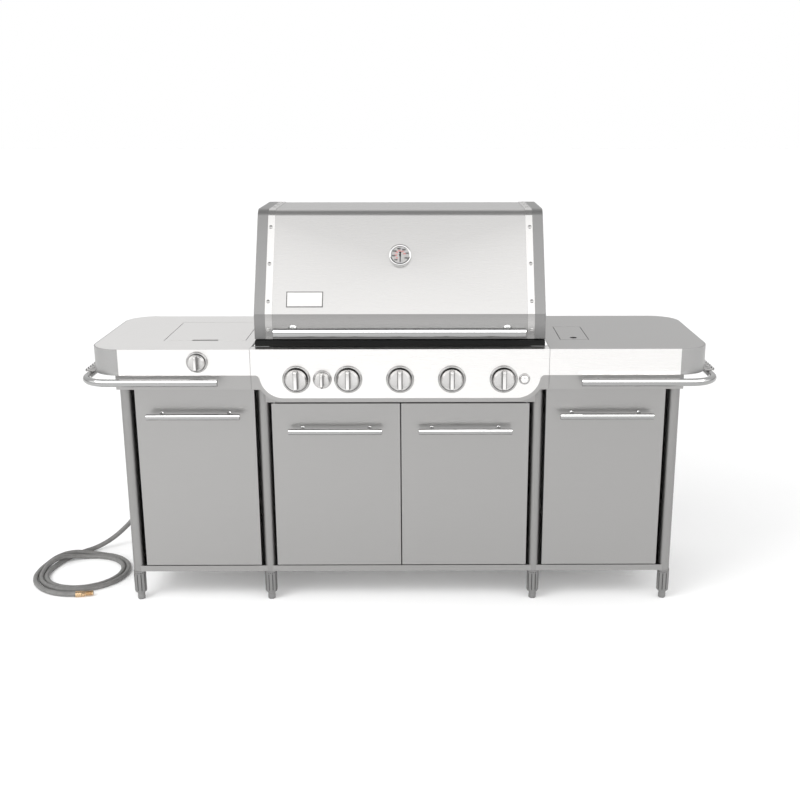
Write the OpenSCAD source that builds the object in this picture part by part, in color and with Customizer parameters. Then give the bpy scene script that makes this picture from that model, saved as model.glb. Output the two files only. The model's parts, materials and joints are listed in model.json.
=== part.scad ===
// Gas barbecue grill centre: a hooded six-burner cookbox on a four-door cabinet,
// with a side table at each end. Millimetres, +Z up, +Y to the back.
// The origin is on the floor at the centre of the grill without its gas hose.

/* [Tables] */
// Length over both table ends
overall_w = 2058; // [1800:1:2480]
// Depth of the tables from the front fascia to the back edge
table_d = 582; // [500:1:700]
// Height of the work surface above the floor
counter_h = 914; // [820:1:1000]
// Thickness of the table sheet
table_t = 3; // [2:0.5:5]
// Radius of the table corners seen from above
corner_r = 100; // [60:1:130]
// Height of the front fascia
fascia_h = 88; // [60:1:110]
// Thickness of the fascia and control panel sheets
skin_t = 3; // [2:0.5:4]
// Wall of the cast table ends
casting_t = 4; // [3:0.5:8]
// Depth of the plain apron below the fascia
apron_h = 50; // [30:1:60]

/* [Cabinet] */
// Diameter of the leg tubes
leg_d = 38; // [30:1:45]
// Wall of the leg tubes
leg_wall = 1.6; // [1:0.1:3]
// How far the outer legs' centres stand in from the table's ends
outer_leg_in = 105.5; // [60:0.5:180]
// Half the spacing of the inner legs
inner_leg_x = 462; // [450:0.5:500]
// Distance of a leg's centre from the table edge, front and back
leg_setback = 53; // [45:1:70]
// Height of the top of the base rails above the floor
base_top = 131; // [110:1:160]
// Height of a base rail
base_rail_h = 21; // [15:1:30]
// How much narrower the base and header rails are than a leg tube
rail_inset = 4; // [2:0.5:12]
// Height of a header rail under the tables
header_h = 30; // [20:1:36]
// Thickness of the cabinet sheets
sheet_t = 1.5; // [1:0.1:3]
// Diameter of the fluted leg sleeves
sleeve_d = 42; // [40:0.5:52]
// Length of the leg sleeves
sleeve_h = 82; // [60:1:90]
// Diameter of the levelling feet
foot_d = 26; // [20:1:36]
// Height of the sleeves above the floor
foot_h = 28; // [15:1:40]
// Diameter of the levelling foot's stud
stud_d = 10; // [8:1:12]

/* [Doors] */
// Thickness of a door pan
door_t = 18; // [14:1:24]
// Width of the gap between a side door and the outer leg
outer_gap = 14; // [12:0.5:20]
// Width of the gap between a door and an inner leg
inner_gap = 9; // [8:0.5:14]
// Gap between the two middle doors
middle_gap = 4; // [3:0.5:6]
// Gap above and below a door
door_gap = 4; // [3:0.5:6]
// Height of the top of the middle doors above the floor
middle_door_top = 720; // [600:1:724]
// Diameter of a door pivot pin
pin_d = 8; // [5:0.5:10]
// Length of a door handle bar
door_bar_w = 312; // [200:1:330]
// Diameter of a door handle bar
door_bar_d = 20; // [14:1:24]
// Distance of a handle bar's centre in front of its door
door_bar_out = 44; // [38:1:60]
// Half the spacing of a door handle's posts
door_post_x = 113; // [60:1:140]
// Depth of a handle bar's centre below the top of its door
door_bar_drop = 86; // [60:1:120]

/* [Control panel] */
// Half the width of the control panel at the top
panel_x = 493.5; // [480:0.5:540]
// Half the width of the panel below the fascia line
panel_low_x = 466; // [450:0.5:475]
// Height of the bottom of the panel above the floor
panel_bottom = 748; // [740:1:780]
// Radius of the panel's lower corners
panel_r = 80; // [40:1:95]
// Width of the skirt that frames the panel
lip_w = 14; // [8:1:20]
// Height of the row of knobs above the floor
knob_z = 813; // [800:1:830]
// Spacing of the five large knobs
knob_pitch = 171.5; // [150:0.5:180]
// Diameter of a large knob
knob_d = 71; // [50:1:80]
// Diameter of a large knob's bezel
bezel_d = 93; // [85:1:110]
// Diameter of the small knob
small_knob_d = 52; // [40:1:56]
// Diameter of the small knob's bezel
small_bezel_d = 62; // [58:1:70]
// Diameter of the side burner's knob
side_knob_d = 56; // [40:1:60]
// Diameter of the side burner's bezel
side_bezel_d = 71; // [62:1:76]
// Thickness of a bezel
bezel_t = 8; // [4:1:12]
// Depth of a knob from its bezel to its face
knob_t = 16; // [10:1:24]
// Height of the grip on a knob's face
grip_t = 18; // [12:1:24]
// Diameter of a valve stem
stem_d = 8; // [6:0.5:10]
// Running clearance round stems and pins
run_gap = 0.05; // [0.02:0.01:0.1]
// Place of the igniter button from the middle
igniter_x = 412; // [405:1:430]
// Diameter of the igniter button
button_d = 26; // [18:1:30]
// Travel of the igniter button
button_travel = 4; // [2:0.5:6]
// Place of the side burner's knob from the middle
side_knob_x = -668; // [-700:1:-620]

/* [Lid] */
// Half the width of the lid over its end caps
lid_x = 484; // [478:0.5:492]
// Width of a cast end cap
cap_w = 36; // [24:1:44]
// Width of a trim strip
strip_w = 24; // [16:1:30]
// Height of the lid's lower edge above the floor
lid_bottom = 936; // [925:1:1010]
// Height of the vertical band along the lid's lower edge
band_h = 84; // [60:1:110]
// Overall height of the closed lid
lid_top = 1345; // [1200:1:1500]
// Distance of the lid's front behind the fascia
lid_front = 60; // [50:1:80]
// Distance of the lid's back from the table's back edge
lid_back_gap = 17; // [14:1:30]
// Lean of the lid's face from vertical, degrees
lid_lean = 30; // [20:1:34]
// Radius of the lid's upper front edge
lid_front_r = 40; // [20:1:60]
// Radius of the lid's upper back edge
lid_back_r = 30; // [15:1:50]
// Thickness of the lid's sheet
lid_t = 2; // [1.5:0.5:4]
// Diameter of the lid's handle bar
lid_bar_d = 30; // [24:1:36]
// Length of the lid's handle bar
lid_bar_w = 826; // [600:1:840]
// Distance of the handle bar's centre in front of the lid
lid_bar_out = 65; // [55:1:90]
// Half the spacing of the handle's posts
lid_post_x = 357; // [250:1:380]
// Height of the handle bar above the lid's lower edge
lid_bar_up = 34; // [25:1:50]
// Diameter of the lid's hinge pins
lid_pin_d = 10; // [8:1:14]
// Half the spacing of the lid's hinges
lid_hinge_x = 300; // [200:1:400]
// Diameter of the thermometer's bezel
gauge_d = 76; // [60:1:90]
// Height of the thermometer above the floor
gauge_z = 1197; // [1150:1:1230]

/* [Cookbox] */
// Half the width of the cookbox
box_x = 440; // [420:1:444]
// Wall of the cast cookbox
box_t = 4; // [3:0.5:8]
// Distance of the cookbox's rim behind the fascia
rim_front = 45; // [42:1:50]
// Distance of the cookbox's front wall behind the fascia
box_front = 84; // [80:1:100]
// Distance of the cookbox's back wall from the table's back edge
box_back_gap = 62; // [55:1:80]
// Height of the bottom of the upright walls above the floor
box_wall_bottom = 838; // [830:1:850]
// Height of the bottom of the cookbox's funnel above the floor
box_bottom = 760; // [745:1:780]
// Half the width of the grease outlet
outlet_x = 150; // [80:1:200]
// Depth of the grease outlet from front to back
outlet_d = 120; // [80:1:160]
// Number of main burners
burner_n = 5; // [3:1:5]
// Diameter of a burner tube
burner_d = 24; // [18:1:28]
// Number of cooking grates side by side
grate_n = 3; // [2:1:4]
// Thickness of a grate bar
grate_bar = 9; // [6:1:12]
// Spacing of the grate bars
grate_pitch = 19; // [16:1:26]
// Height of the warming rack above the work surface
rack_up = 150; // [120:1:180]

/* [Side tables] */
// Nearest edge of the side burner's cover from the middle
cover_in = 529; // [520:1:560]
// Farthest edge of the side burner's cover from the middle
cover_out = 805; // [700:1:820]
// Front edge of the side burner's cover behind the fascia
cover_front = 142; // [130:1:200]
// Back edge of the side burner's cover behind the fascia
cover_back = 458; // [400:1:480]
// Depth of the side burner's bowl
bowl_h = 46; // [40:1:60]
// Nearest edge of the small cover from the middle
hatch_in = 547; // [530:1:580]
// Farthest edge of the small cover from the middle
hatch_out = 642; // [620:1:700]
// Front edge of the small cover behind the fascia
hatch_front = 151; // [130:1:200]
// Back edge of the small cover behind the fascia
hatch_back = 370; // [320:1:400]
// Gap round a cover
cover_gap = 2; // [1.5:0.5:3]
// Diameter of the rails
rail_d = 25; // [20:1:30]
// Distance of a rail's centre line in front of the fascia
rail_out = 37; // [30:1:50]
// Distance of a rail's centre line beyond the table end
rail_end_out = 19; // [17:1:40]
// Height of a rail's centre line above the floor
rail_z = 810; // [790:1:815]
// Radius of a rail's corner bend
rail_r = 90; // [60:1:120]
// Place of a rail's inner end from the middle
rail_in = 598; // [520:1:700]
// Length of a rail's run along the table end
rail_side = 400; // [250:1:450]
// Spacing of the tool hooks
hook_pitch = 24; // [18:1:30]
// Number of tool hooks on each side
hook_n = 14; // [6:1:16]

/* [Gas hose] */
// Diameter of the hose
hose_d = 18; // [16:1:20]
// Inner radius of the coil on the floor
coil_in = 121; // [110:1:130]
// Outer radius of the coil on the floor
coil_out = 205; // [190:1:210]
// Height of the coil where its turns cross
coil_h = 38; // [36:1:44]

/* [Hidden] */

$fn = 48;

// Overall places. depth(d) is the distance d behind the front fascia.
table_x = overall_w / 2;
front_y = -(table_d - rail_out - rail_d / 2) / 2;
function depth(d) = front_y + d;
fascia_bottom = counter_h - fascia_h;
sheet_z = counter_h - table_t;
seam_gap = 1;
overlap = 0.01;

// Legs
leg_r = leg_d / 2;
base_rail_d = leg_d - rail_inset;
front_leg = leg_setback;
back_leg = table_d - leg_setback;
outer_leg_x = overall_w / 2 - outer_leg_in;
leg_xs = [-outer_leg_x, -inner_leg_x, inner_leg_x, outer_leg_x];
leg_depths = [front_leg, back_leg];
sleeve_wall = 4;
sleeve_slip = 0.2;
header_bottom = fascia_bottom - apron_h;
leg_top = header_bottom + header_h;
leg_bottom = foot_h + sleeve_wall;
apron_depth = 8;
weld_gap = 0.1;

// Doors
door_front = leg_setback - leg_r;
door_bottom = base_top + door_gap;
side_door_top = header_bottom - door_gap;
side_door_in = inner_leg_x + leg_r + inner_gap;
side_door_out = outer_leg_x - leg_r - outer_gap;
middle_door_out = inner_leg_x - leg_r - inner_gap;
side_door_w = side_door_out - side_door_in;
middle_door_w = middle_door_out - middle_gap / 2;
pin_in = door_t / 2;
pin_len = 14;
knuckle = 16;
pin_depth = door_front + pin_in;
post_d = 9;
middle_header_bottom = middle_door_top + door_gap;

// Control panel
skirt_front = skin_t + 1;
skirt_t = 2;
fillet_r = panel_x - panel_low_x - lip_w;
large_knob_xs = [for (i = [-2 : 2]) i * knob_pitch];
small_knob_x = -1.5 * knob_pitch;
side_knob_z = counter_h - 42;
stem_r = stem_d / 2;
stem_hole_r = stem_r + 2;
knob_gap = 1.5;
knob_back = bezel_t + knob_gap;
knob_roof = 3;
stem_end = knob_back + knob_t - knob_roof;
valve_front = skirt_front + skirt_t + 4;
valve_d = 34;
valve_w = 30;
valve_back = valve_front + valve_d;
manifold_d = 20;
manifold_depth = valve_back + manifold_d / 2 + 2;
manifold_z = knob_z - 10;
button_gap = 0.5;
button_out = 8;
button_len = 18;
// Each control: place across, height, knob width, bezel width
controls = concat(
    [for (x = large_knob_xs) [x, knob_z, knob_d, bezel_d]],
    [[small_knob_x, knob_z, small_knob_d, small_bezel_d],
     [side_knob_x, side_knob_z, side_knob_d, side_bezel_d]]
);

// Lid
lid_back = table_d - lid_back_gap;
crease_z = lid_bottom + band_h;
strip_out = lid_x - cap_w;
strip_in = strip_out - strip_w;
trim_t = 2;
cap_t = 3;
arc_steps = 10;
lean_u = [sin(lid_lean), cos(lid_lean)];
lean_n = [-cos(lid_lean), sin(lid_lean)];
front_arc_z = lid_top - lid_front_r;
front_arc = [
    lid_front + ((front_arc_z - crease_z) * sin(lid_lean) + lid_front_r) / cos(lid_lean),
    front_arc_z
];
back_arc = [lid_back - lid_back_r, lid_top - lid_back_r];
hinge_depth = lid_back - 20;
hinge_z = lid_bottom - 11;
lid_pin_r = lid_pin_d / 2;
eye_r = lid_pin_r + 5;
leaf_w = 12;
back_edge = 24;
bar_depth = lid_front - lid_bar_out;
bar_z = lid_bottom + lid_bar_up;
gauge_up = (gauge_z - crease_z) / cos(lid_lean);
plate_w = 122;
plate_h = 55;
plate_t = 2;
plate_x = -317;
plate_up = 24;
plate_seat = 0.01;

// Cookbox
rim_top = lid_bottom - 3;
rim_bottom = counter_h + 1;
rim_x = lid_x - 2;
box_back = table_d - box_back_gap;
outlet_mid = (box_front + box_back) / 2;
burner_z = box_wall_bottom + 22;
burner_r = burner_d / 2;
burner_slip = 0.4;
grate_h = 14;
grate_top = rim_top - 6;
grate_gap = 3;
ledge_h = 6;
ledge_d = 10;
rod_r = 3;
rack_front = 340;
rack_z = counter_h + rack_up;
tray_x = outlet_x + 45;
tray_h = 34;
tray_flange = 12;
runner_h = 8;

// Side tables
bowl_wall = 1.5;
cover_x = (cover_in + cover_out) / 2;
cover_mid = (cover_front + cover_back) / 2;
notch_w = 88;
notch_d = 14;
finger_r = 12;
cover_pin_r = 1.25;
cover_pin_len = 8;
cover_axis = 3;
cover_rest = 0.3;
head_r = 42;
rail_r_tube = rail_d / 2;

// Gas hose. The hose leaves the inlet towards -X behind the back left leg.
hose_r = hose_d / 2;
hose_slip = 0.3;
hose_sides = 10;
inlet_x = -850;
inlet_out = 33;
inlet_depth = back_leg + inlet_out;
inlet_z = 262;
coil_x = -1188;
coil_depth = 256;
hose_points = [
    [-850, 562, 262], [-880, 562, 260], [-915, 562, 250], [-950, 560, 230],
    [-990, 554, 196], [-1030, 545, 155], [-1070, 533, 111], [-1105, 522, 76],
    [-1140, 510, 47], [-1175, 496, 26], [-1210, 477, 13], [-1243, 451, 9.2],
    [-1268, 422, 9.2]
];
fitting_x = -1154;
fitting_depth = 63;
fitting_turn = 10;

// A box from a low corner to a high corner, its second number a depth.
module block(low, high) {
    translate([low[0], depth(low[1]), low[2]])
        cube([high[0] - low[0], high[1] - low[1], high[2] - low[2]]);
}

// The same shape on the right and, mirrored, on the left.
module both_sides() {
    children();
    mirror([1, 0, 0]) children();
}

// A round bar along X, Y or Z that starts at a place.
module bar_x(from, length, r) {
    translate([from[0], depth(from[1]), from[2]]) rotate([0, 90, 0]) cylinder(h = length, r = r);
}
module bar_y(from, length, r) {
    translate([from[0], depth(from[1]), from[2]]) rotate([-90, 0, 0]) cylinder(h = length, r = r);
}
module bar_z(from, length, r) {
    translate([from[0], depth(from[1]), from[2]]) cylinder(h = length, r = r);
}

module at_legs() {
    for (x = leg_xs, d = leg_depths) translate([x, depth(d), 0]) children();
}

module legs() {
    color([0.66, 0.66, 0.65]) at_legs() translate([0, 0, leg_bottom])
        difference() {
            cylinder(h = leg_top - leg_bottom, r = leg_r);
            translate([0, 0, -overlap])
                cylinder(h = leg_top - leg_bottom + 2 * overlap, r = leg_r - leg_wall);
        }
}

// A sleeve slips over the leg's lower end and carries the foot's stud in its floor.
module leg_sleeves() {
    color([0.6, 0.6, 0.6]) at_legs() translate([0, 0, foot_h])
        difference() {
            cylinder(h = sleeve_h, r = sleeve_d / 2);
            translate([0, 0, sleeve_wall]) cylinder(h = sleeve_h, r = leg_r + sleeve_slip);
            translate([0, 0, -overlap])
                cylinder(h = sleeve_h, r = stud_d / 2 + run_gap);
        }
}

module levelling_feet() {
    color([0.55, 0.55, 0.55]) at_legs() {
        cylinder(h = foot_h - 1, r = foot_d / 2);
        translate([0, 0, foot_h - 1 - overlap]) cylinder(h = 30, r = stud_d / 2);
    }
}

// Rails run from leg to leg at the base and under the tables.
module rail_across(x0, x1, d, z, h) {
    block([x0, d - base_rail_d / 2, z], [x1, d + base_rail_d / 2, z + h]);
}
module rail_back(x, z, h) {
    start = base_rail_d / 2 + weld_gap;
    block([x - base_rail_d / 2, front_leg + start, z], [x + base_rail_d / 2, back_leg - start, z + h]);
}
module frame_rails() {
    color([0.68, 0.68, 0.67]) {
        difference() {
            union() {
                for (d = leg_depths, i = [0 : 2]) {
                    rail_across(leg_xs[i], leg_xs[i + 1], d, base_top - base_rail_h, base_rail_h);
                    rail_across(leg_xs[i], leg_xs[i + 1], d,
                                i == 1 ? middle_header_bottom : header_bottom, header_h);
                }
                for (x = leg_xs) {
                    rail_back(x, base_top - base_rail_h, base_rail_h);
                    rail_back(x, header_bottom, header_h);
                }
            }
            at_legs() cylinder(h = counter_h, r = leg_r + weld_gap);
        }
        both_sides() block([tray_x + 2, front_leg + base_rail_d / 2, middle_header_bottom],
                           [tray_x + 12, back_leg - base_rail_d / 2, middle_header_bottom + runner_h]);
    }
}

module cabinet_floors() {
    low = front_leg + base_rail_d / 2;
    high = back_leg - base_rail_d / 2;
    half = base_rail_d / 2;
    color([0.6, 0.6, 0.6]) {
        for (i = [0 : 2])
            block([leg_xs[i] + half, low, base_top - sheet_t], [leg_xs[i + 1] - half, high, base_top]);
    }
}

module cabinet_walls() {
    color([0.68, 0.68, 0.67]) {
        for (x = leg_xs)
            block([x - sheet_t / 2, front_leg + leg_r + weld_gap, base_top],
                  [x + sheet_t / 2, back_leg - leg_r - weld_gap, header_bottom]);
        for (i = [0 : 2])
            block([leg_xs[i] + leg_r + weld_gap, back_leg, base_top],
                  [leg_xs[i + 1] - leg_r - weld_gap, back_leg + sheet_t,
                   i == 1 ? middle_header_bottom : header_bottom]);
    }
}

module front_aprons() {
    color([0.68, 0.68, 0.67]) both_sides()
        block([panel_x + seam_gap, apron_depth, header_bottom],
              [outer_leg_x + leg_r, apron_depth + skirt_t, fascia_bottom]);
}

// Pins stand on the base rails and hang from the headers, on each door's hinge line.
module door_pivot_pins() {
    color([0.75, 0.75, 0.75]) both_sides() {
        for (x = [side_door_in + pin_in, middle_door_out - pin_in])
            bar_z([x, pin_depth, base_top], door_gap + pin_len, pin_d / 2);
        bar_z([side_door_in + pin_in, pin_depth, side_door_top - pin_len],
              door_gap + pin_len, pin_d / 2);
        bar_z([middle_door_out - pin_in, pin_depth, middle_door_top - pin_len],
              door_gap + pin_len, pin_d / 2);
    }
}

// A door is a folded pan with a block for the pivot pin at its top and bottom.
module door_pan(x0, x1, top, pin_x) {
    wall = sheet_t + 0.5;
    difference() {
        union() {
            difference() {
                block([x0, door_front, door_bottom], [x1, door_front + door_t, top]);
                block([x0 + wall, door_front + wall, door_bottom + wall],
                      [x1 - wall, door_front + door_t + overlap, top - wall]);
            }
            for (z = [door_bottom + overlap, top - knuckle - overlap])
                block([pin_x - pin_in + overlap, door_front + overlap, z],
                      [pin_x + pin_in - overlap, door_front + door_t - overlap, z + knuckle]);
        }
        bar_z([pin_x, pin_depth, door_bottom - overlap], pin_len + overlap + 0.5,
              pin_d / 2 + run_gap);
        bar_z([pin_x, pin_depth, top - pin_len - 0.5], pin_len + overlap + 0.5,
              pin_d / 2 + run_gap);
    }
}
module door_handle(x, top) {
    z = top - door_bar_drop;
    bar_depth = door_front - door_bar_out;
    bar_x([x - door_bar_w / 2, bar_depth, z], door_bar_w, door_bar_d / 2);
    for (side = [-1, 1]) bar_y([x + side * door_post_x, bar_depth, z], door_bar_out, post_d / 2);
}
side_door_x = (side_door_in + side_door_out) / 2;
middle_door_x = (middle_gap / 2 + middle_door_out) / 2;
module side_door() {
    color([0.68, 0.68, 0.67])
        door_pan(side_door_in, side_door_out, side_door_top, side_door_in + pin_in);
}
module middle_door() {
    color([0.68, 0.68, 0.67])
        door_pan(middle_gap / 2, middle_door_out, middle_door_top, middle_door_out - pin_in);
}
module right_side_door() { side_door(); }
module left_side_door() { mirror([1, 0, 0]) side_door(); }
module right_middle_door() { middle_door(); }
module left_middle_door() { mirror([1, 0, 0]) middle_door(); }
module right_side_handle() { color([0.85, 0.85, 0.85]) door_handle(side_door_x, side_door_top); }
module left_side_handle() { color([0.85, 0.85, 0.85]) door_handle(-side_door_x, side_door_top); }
module right_middle_handle() {
    color([0.85, 0.85, 0.85]) door_handle(middle_door_x, middle_door_top);
}
module left_middle_handle() {
    color([0.85, 0.85, 0.85]) door_handle(-middle_door_x, middle_door_top);
}

// Outline of a right-hand table seen from above, drawn in by an inset.
module table_outline(inset) {
    r = corner_r - inset;
    end = table_x - inset;
    translate([0, depth(inset)]) {
        square([end - r, table_d - 2 * inset]);
        translate([0, r]) square([end, table_d - 2 * inset - 2 * r]);
        translate([end - r, r]) circle(r, $fn = 96);
        translate([end - r, table_d - 2 * inset - r]) circle(r, $fn = 96);
    }
}
module table_top(openings) {
    translate([0, 0, sheet_z]) linear_extrude(table_t) difference() {
        intersection() {
            table_outline(casting_t);
            translate([panel_x + seam_gap, depth(skin_t)])
                square([table_x, table_d - skin_t - casting_t + seam_gap]);
        }
        children();
    }
    block([panel_x + seam_gap, table_d - casting_t, sheet_z - apron_h],
          [table_x - corner_r - seam_gap, table_d - casting_t + skirt_t, counter_h]);
}
module cover_opening(x0, x1, d0, d1) {
    translate([x0 - cover_gap, depth(d0 - cover_gap)])
        square([x1 - x0 + 2 * cover_gap, d1 - d0 + 2 * cover_gap]);
}
module cover_pins(x0, x1, d1, r) {
    for (x = [x0 - cover_pin_len, x1 - overlap])
        bar_x([x, d1 - cover_axis, sheet_z + table_t / 2], cover_pin_len + overlap, r);
}
module right_table_top() {
    color([0.65, 0.65, 0.64]) difference() {
        table_top() cover_opening(hatch_in, hatch_out, hatch_front, hatch_back);
        cover_pins(hatch_in, hatch_out, hatch_back, cover_pin_r + run_gap);
    }
}
module left_table_top() {
    color([0.84, 0.84, 0.83]) mirror([1, 0, 0]) difference() {
        table_top() cover_opening(cover_in, cover_out, cover_front, cover_back);
        cover_pins(cover_in, cover_out, cover_back, cover_pin_r + run_gap);
    }
}

module table_end_castings() {
    lip = 10;
    color([0.66, 0.66, 0.65]) both_sides() difference() {
        union() {
            translate([0, 0, fascia_bottom]) linear_extrude(fascia_h) difference() {
                table_outline(0);
                table_outline(casting_t);
            }
            translate([0, 0, fascia_bottom]) linear_extrude(casting_t) difference() {
                table_outline(overlap);
                table_outline(casting_t + lip);
            }
        }
        block([-1, -1, 0], [table_x - corner_r, table_d + 1, counter_h + 1]);
    }
}

module front_fascias() {
    color([0.93, 0.93, 0.92]) difference() {
        both_sides() block([panel_x + seam_gap, 0, fascia_bottom],
                           [table_x - corner_r - overlap, skin_t - overlap, counter_h]);
        bar_y([side_knob_x, -1, side_knob_z], 2 * valve_front, stem_hole_r);
    }
}

// A rail runs along the front, round the corner and back along the table end.
module side_rails() {
    corner_x = table_x + rail_end_out - rail_r;
    corner_depth = rail_r - rail_out;
    color([0.85, 0.85, 0.85]) both_sides() {
        bar_x([rail_in, -rail_out, rail_z], corner_x - rail_in, rail_r_tube);
        translate([corner_x, depth(corner_depth), rail_z]) rotate([0, 0, -90])
            rotate_extrude(angle = 90) translate([rail_r, 0]) circle(rail_r_tube);
        bar_y([table_x + rail_end_out, corner_depth, rail_z], rail_side, rail_r_tube);
        for (x = [rail_in + 60, outer_leg_x - 40])
            bar_y([x, -rail_out, rail_z], rail_out + apron_depth, post_d / 2);
    }
}

// A comb of hooks is bolted under the table end and reaches over the rail.
module hook_combs() {
    hook_w = hook_pitch / 2;
    hook_t = 2.5;
    hook_front = 75;
    plate_z = rail_z + rail_r_tube + 0.5;
    root = table_x + 1;
    tip = table_x + rail_end_out + rail_r_tube;
    color([0.35, 0.35, 0.35]) both_sides() {
        block([root, hook_front, plate_z],
              [root + 10, hook_front + hook_pitch * hook_n, plate_z + hook_t]);
        for (i = [0 : hook_n - 1]) {
            d = hook_front + hook_pitch * i;
            block([root + 10 - overlap, d, plate_z], [tip, d + hook_w, plate_z + hook_t]);
            block([tip - hook_t, d, plate_z + hook_t - overlap], [tip, d + hook_w, plate_z + 8]);
        }
    }
}

// An open box with thin walls under a table opening.
module tub(x0, x1, d0, d1, z0, z1, wall) {
    difference() {
        block([x0 - wall, d0 - wall, z0], [x1 + wall, d1 + wall, z1]);
        block([x0, d0, z0 + wall], [x1, d1, z1 + 1]);
    }
}
module side_burner_bowl() {
    margin = cover_gap + 2;
    color([0.5, 0.5, 0.5]) mirror([1, 0, 0]) {
        difference() {
            tub(cover_in - margin, cover_out + margin, cover_front - margin, cover_back + margin,
                sheet_z - bowl_h, sheet_z, bowl_wall);
            cover_pins(cover_in, cover_out, cover_back, cover_pin_r + run_gap);
        }
        for (x = [cover_in + 20, cover_out - 50])
            block([x, cover_front - margin - overlap, sheet_z - 8],
                  [x + 30, cover_front + 10, sheet_z - cover_rest]);
    }
}
module side_burner_head() {
    bottom = sheet_z - bowl_h + bowl_wall;
    color([0.3, 0.3, 0.3]) translate([-cover_x, depth(cover_mid), bottom]) {
        cylinder(h = 12, r = head_r - 12);
        translate([0, 0, 12 - overlap]) cylinder(h = 8, r = head_r);
        translate([0, 0, 20 - 2 * overlap]) cylinder(h = 4, r = head_r - 14);
    }
}
module side_burner_grate() {
    bottom = sheet_z - bowl_h + bowl_wall;
    half_w = (cover_out - cover_in) / 2 - 10;
    half_d = (cover_back - cover_front) / 2 - 22;
    bar = 8;
    top = bowl_h - bowl_wall - 3;
    color([0.15, 0.15, 0.15]) translate([-cover_x, depth(cover_mid), bottom]) {
        difference() {
            translate([-half_w, -half_d, top - bar]) cube([2 * half_w, 2 * half_d, bar]);
            translate([bar - half_w, bar - half_d, top - bar - 1])
                cube([2 * (half_w - bar), 2 * (half_d - bar), bar + 2]);
        }
        for (x = [-1, 1], y = [-1, 1])
            translate([x * (half_w - bar / 2) - bar / 2, y * (half_d - bar / 2) - bar / 2, 0])
                cube([bar, bar, top - bar + overlap]);
        for (turn = [0, 180]) rotate([0, 0, turn]) {
            translate([24, -bar / 2, top - bar + overlap])
                cube([half_w - 24 - bar / 2, bar, bar - 2 * overlap]);
            translate([-bar / 2, 24, top - bar + overlap])
                cube([bar, half_d - 24 - bar / 2, bar - 2 * overlap]);
        }
    }
}
module storage_well() {
    margin = cover_gap + 2;
    color([0.5, 0.5, 0.5]) {
        difference() {
            tub(hatch_in - margin, hatch_out + margin, hatch_front - margin, hatch_back + margin,
                sheet_z - bowl_h, sheet_z, bowl_wall);
            cover_pins(hatch_in, hatch_out, hatch_back, cover_pin_r + run_gap);
        }
        block([hatch_in + 10, hatch_front - margin - overlap, sheet_z - 8],
              [hatch_in + 24, hatch_front + 8, sheet_z - cover_rest]);
        block([hatch_out - 24, hatch_front - margin - overlap, sheet_z - 8],
              [hatch_out - 10, hatch_front + 8, sheet_z - cover_rest]);
    }
}

module side_burner_cover() {
    color([0.84, 0.84, 0.83]) mirror([1, 0, 0]) {
        difference() {
            block([cover_in, cover_front, sheet_z], [cover_out, cover_back, counter_h]);
            block([cover_x - notch_w / 2, cover_front - 1, sheet_z - 1],
                  [cover_x + notch_w / 2, cover_front + notch_d, counter_h + 1]);
        }
        cover_pins(cover_in, cover_out, cover_back, cover_pin_r);
    }
}
module storage_cover() {
    color([0.65, 0.65, 0.64]) {
        difference() {
            block([hatch_in, hatch_front, sheet_z], [hatch_out, hatch_back, counter_h]);
            bar_z([(hatch_in + hatch_out) / 2, hatch_front + 30, sheet_z - 1],
                  table_t + 2, finger_r);
        }
        cover_pins(hatch_in, hatch_out, hatch_back, cover_pin_r);
    }
}

// The cookbox seen from its end: upright walls over a funnel.
module box_profile(wall) {
    polygon([
        [depth(box_front + wall), rim_top + 1],
        [depth(box_front + wall), box_wall_bottom + wall / 2],
        [depth(outlet_mid - outlet_d / 2), box_bottom + wall],
        [depth(outlet_mid + outlet_d / 2), box_bottom + wall],
        [depth(box_back - wall), box_wall_bottom + wall / 2],
        [depth(box_back - wall), rim_top + 1]
    ]);
}
module along_x(x0, x1) {
    translate([x0, 0, 0]) rotate([90, 0, 90]) linear_extrude(x1 - x0) children();
}
module cookbox() {
    color([0.1, 0.1, 0.1]) difference() {
        union() {
            along_x(-box_x, box_x) box_profile(0);
            block([-rim_x, rim_front, rim_bottom], [rim_x, box_back + box_t, rim_top]);
            both_sides() block([box_x - overlap, box_front + 60, leg_top],
                               [inner_leg_x + 8, box_back - 60, leg_top + 6]);
        }
        difference() {
            along_x(-box_x + box_t, box_x - box_t) box_profile(box_t);
            for (d = [box_front + box_t - overlap, box_back - box_t - ledge_d])
                block([-box_x, d, grate_top - grate_h - ledge_h],
                      [box_x, d + ledge_d + overlap, grate_top - grate_h]);
        }
        block([-box_x - 1, 0, rim_top], [box_x + 1, table_d, rim_top + 2]);
        block([-outlet_x, outlet_mid - outlet_d / 2 + 1, box_bottom - 1],
              [outlet_x, outlet_mid + outlet_d / 2 - 1, box_bottom + box_t + 1]);
        for (x = burner_xs) bar_y([x, box_front - 1, burner_z], box_t + 2, burner_r + burner_slip);
        block([-rim_x - 1, rim_front - 1, rim_top], [rim_x + 1, table_d, rim_top + 5]);
    }
}
burner_xs = [for (i = [0 : burner_n - 1]) (i - (burner_n - 1) / 2) * knob_pitch];
module burner_tubes() {
    start = valve_back + 6;
    color([0.6, 0.6, 0.58]) for (x = burner_xs) difference() {
        bar_y([x, start, burner_z], box_back - box_t - 6 - start, burner_r);
        bar_y([x, start - 1, burner_z], box_back - box_t - 8 - start, burner_r - sheet_t);
    }
}
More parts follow.
